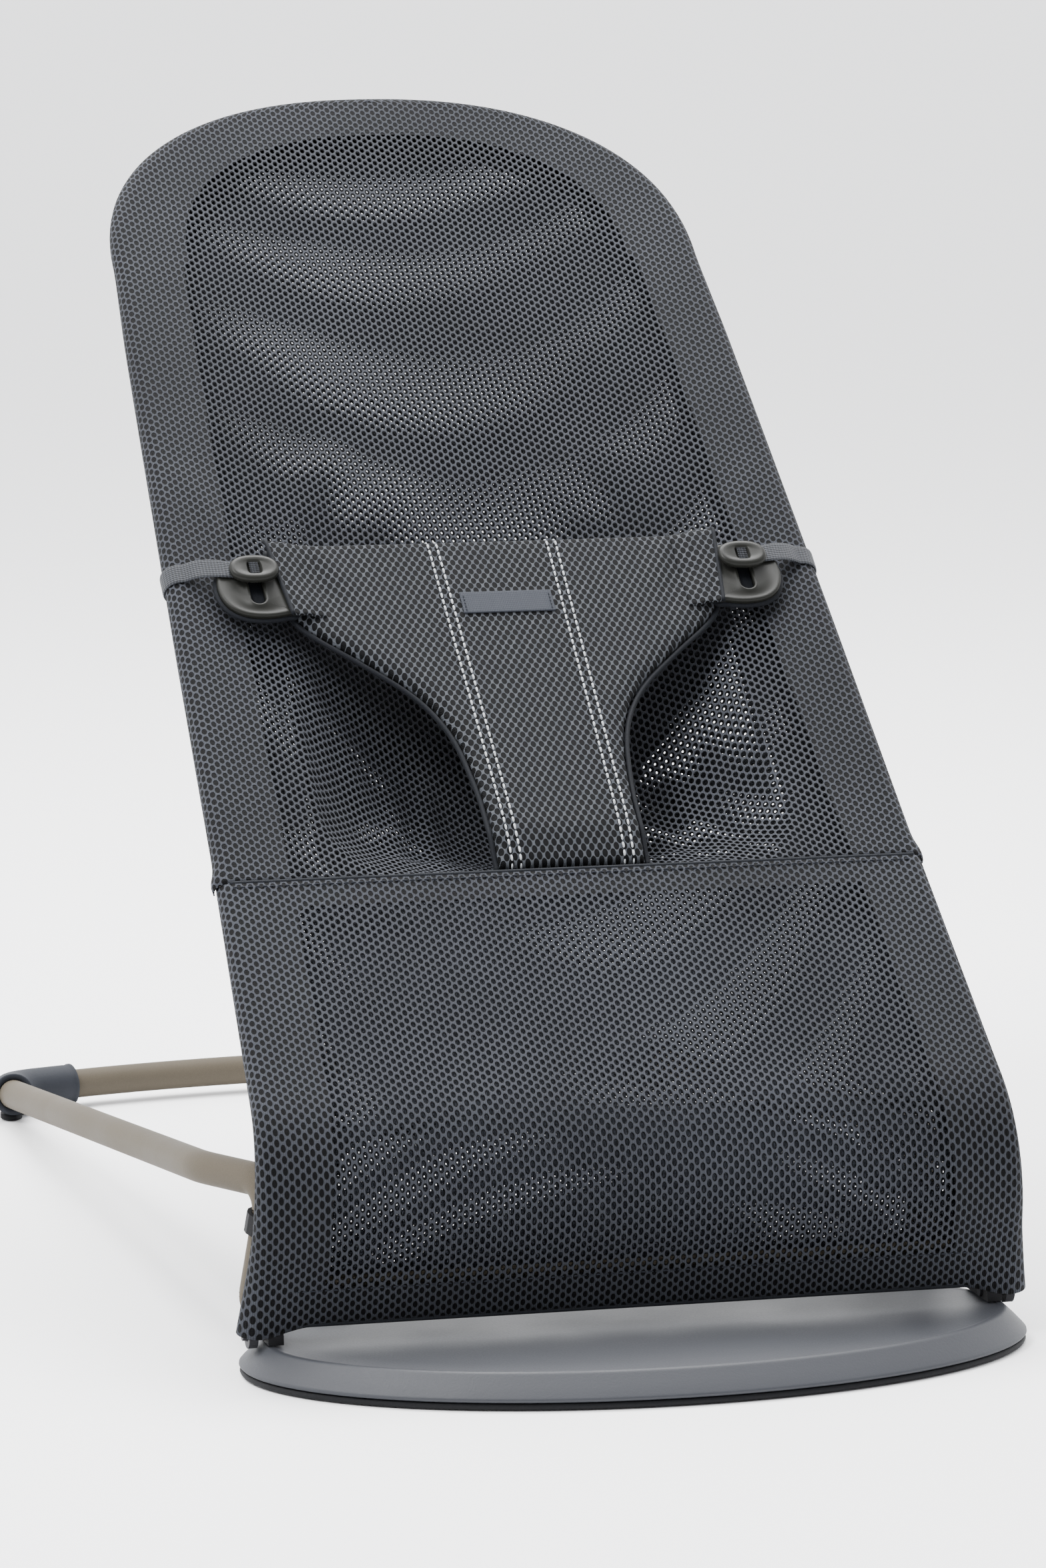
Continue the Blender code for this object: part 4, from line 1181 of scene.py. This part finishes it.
# (inset, z) round the grip ring under the plate's edge, back to its first point
GRIP_SECTION = ((0.0130, 0.0), (0.0016, 0.0), (0.0008, 0.0004), (0.0004, 0.0012), (0.0008, 0.0030),
                (0.0130, 0.0030), (0.0130, 0.0))


def plate_outline(inset, count=180):
    """Half ellipse in front, fuller curve behind."""
    found = []
    for j in range(count):
        angle = 2 * math.pi * j / count
        b, power = (PLATE_FRONT_B, 2.0) if math.sin(angle) < 0 else (PLATE_REAR_B, 2.3)
        x, y = superellipse(PLATE_A - inset, b - inset, power, angle)
        found.append((x, PLATE_MID_Y + y))
    return found


def plate_loft(section, capped):
    return stacked([plate_outline(inset) for inset, _ in section], [z for _, z in section], capped)


def build_plate():
    """Moulded floor plate and the rubber grip ring under its edge."""
    plate = build("floor_plate_shell", *plate_loft(PLATE_SECTION, True), MATS["plate"])
    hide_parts("base_plate")
    grip = build("floor_grip_ring", *plate_loft(GRIP_SECTION, False), MATS["pad"], merge=1e-6)
    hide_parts("plate_grip")
    for piece in (plate, grip):
        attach(piece, "base")


# ---- carried-over metal and plastic
CARRIED = {"seat_frame": "steel", "hem_bar": "steel", "rack_bar": "dark_steel",
           "hinge_eye_left": "dark_steel", "hinge_eye_right": "dark_steel",
           "hinge_pin_left": "dark_steel", "hinge_pin_right": "dark_steel"}
for kind in ("bow_socket", "position_catch", "hinge_bracket", "position_rack"):
    for tag in ("left", "right"):
        CARRIED[kind + "_" + tag] = "black"


def dress_carried():
    """Looks for the plain metal and plastic parts that stay as they are in the model."""
    for name, look in CARRIED.items():
        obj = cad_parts[name]
        for entry in obj.material_slots:
            entry.material = MATS[look]
        if look == "black":
            add_bevel(obj, 0.0006, 30)


# ---- stage
def area_light(name, place, target, size, power):
    light = bpy.data.lights.new(name, "AREA")
    light.shape, light.size, light.size_y = "RECTANGLE", size[0], size[1]
    light.energy = power
    obj = bpy.data.objects.new(name, light)
    bpy.context.scene.collection.objects.link(obj)
    obj.location = place
    obj.rotation_euler = (Vector(target) - Vector(place)).to_track_quat("-Z", "Y").to_euler()


FLOOR_HALF = 30.0


def build_stage():
    """Plain pale floor, a soft key light from the left and a wide light over the back."""
    corners = ((-1, -1), (1, -1), (1, 1), (-1, 1))
    verts = [(FLOOR_HALF * x, FLOOR_HALF * y, 0) for x, y in corners]
    floor = build("floor", verts, [(0, 1, 2, 3)], Look("floor", (0.93, 0.93, 0.935), 0.80).mat)
    floor.location.z = -0.0005
    build_world()
    area_light("key", (-1.5, -0.6, 2.6), (0, 0, 0.25), (1.2, 1.2), 105)
    area_light("top", (0.2, 0.9, 2.6), (0, 0.0, 0.2), (2.0, 1.4), 170)


def build_world():
    """White surroundings, brighter behind the seat than in front of it."""
    world = bpy.data.worlds.new("studio")
    bpy.context.scene.world = world
    world.use_nodes = True
    tree = world.node_tree
    back = tree.nodes["Background"]
    back.inputs["Color"].default_value = (0.98, 0.985, 1.0, 1.0)
    split = tree.nodes.new("ShaderNodeSeparateXYZ")
    tree.links.new(tree.nodes.new("ShaderNodeTexCoord").outputs["Generated"], split.inputs[0])
    ramp = tree.nodes.new("ShaderNodeMapRange")
    ramp.inputs["From Min"].default_value, ramp.inputs["From Max"].default_value = -0.7, 0.5
    ramp.inputs["To Min"].default_value, ramp.inputs["To Max"].default_value = 0.9, 3.6
    tree.links.new(split.outputs[1], ramp.inputs["Value"])
    tree.links.new(ramp.outputs[0], back.inputs["Strength"])


def build_camera():
    """Long lens, a little to the left of the front and a little above it."""
    camera = bpy.data.cameras.new("camera")
    camera.sensor_width, camera.sensor_fit = 36.0, "AUTO"
    camera.lens = 145.5
    camera.clip_end = 100
    obj = bpy.data.objects.new("camera", camera)
    bpy.context.scene.collection.objects.link(obj)
    obj.location = (-0.8136, FRONT_Y - 2.7674, 0.7268)
    obj.rotation_euler = (math.radians(81.45), 0.0, math.radians(-14.759))
    bpy.context.scene.camera = obj


build_camera()
build_stage()
dress_carried()
build_cover()
seam_and_hem()
harness_height = build_harness()
for side, tag in ((-1, "left"), (1, "right")):
    build_slot_plate(side, tag)
    build_wing_end(side, tag, harness_height)
    build_toggle(side, tag)
    build_strap(side, tag)
build_bow()
build_plate()
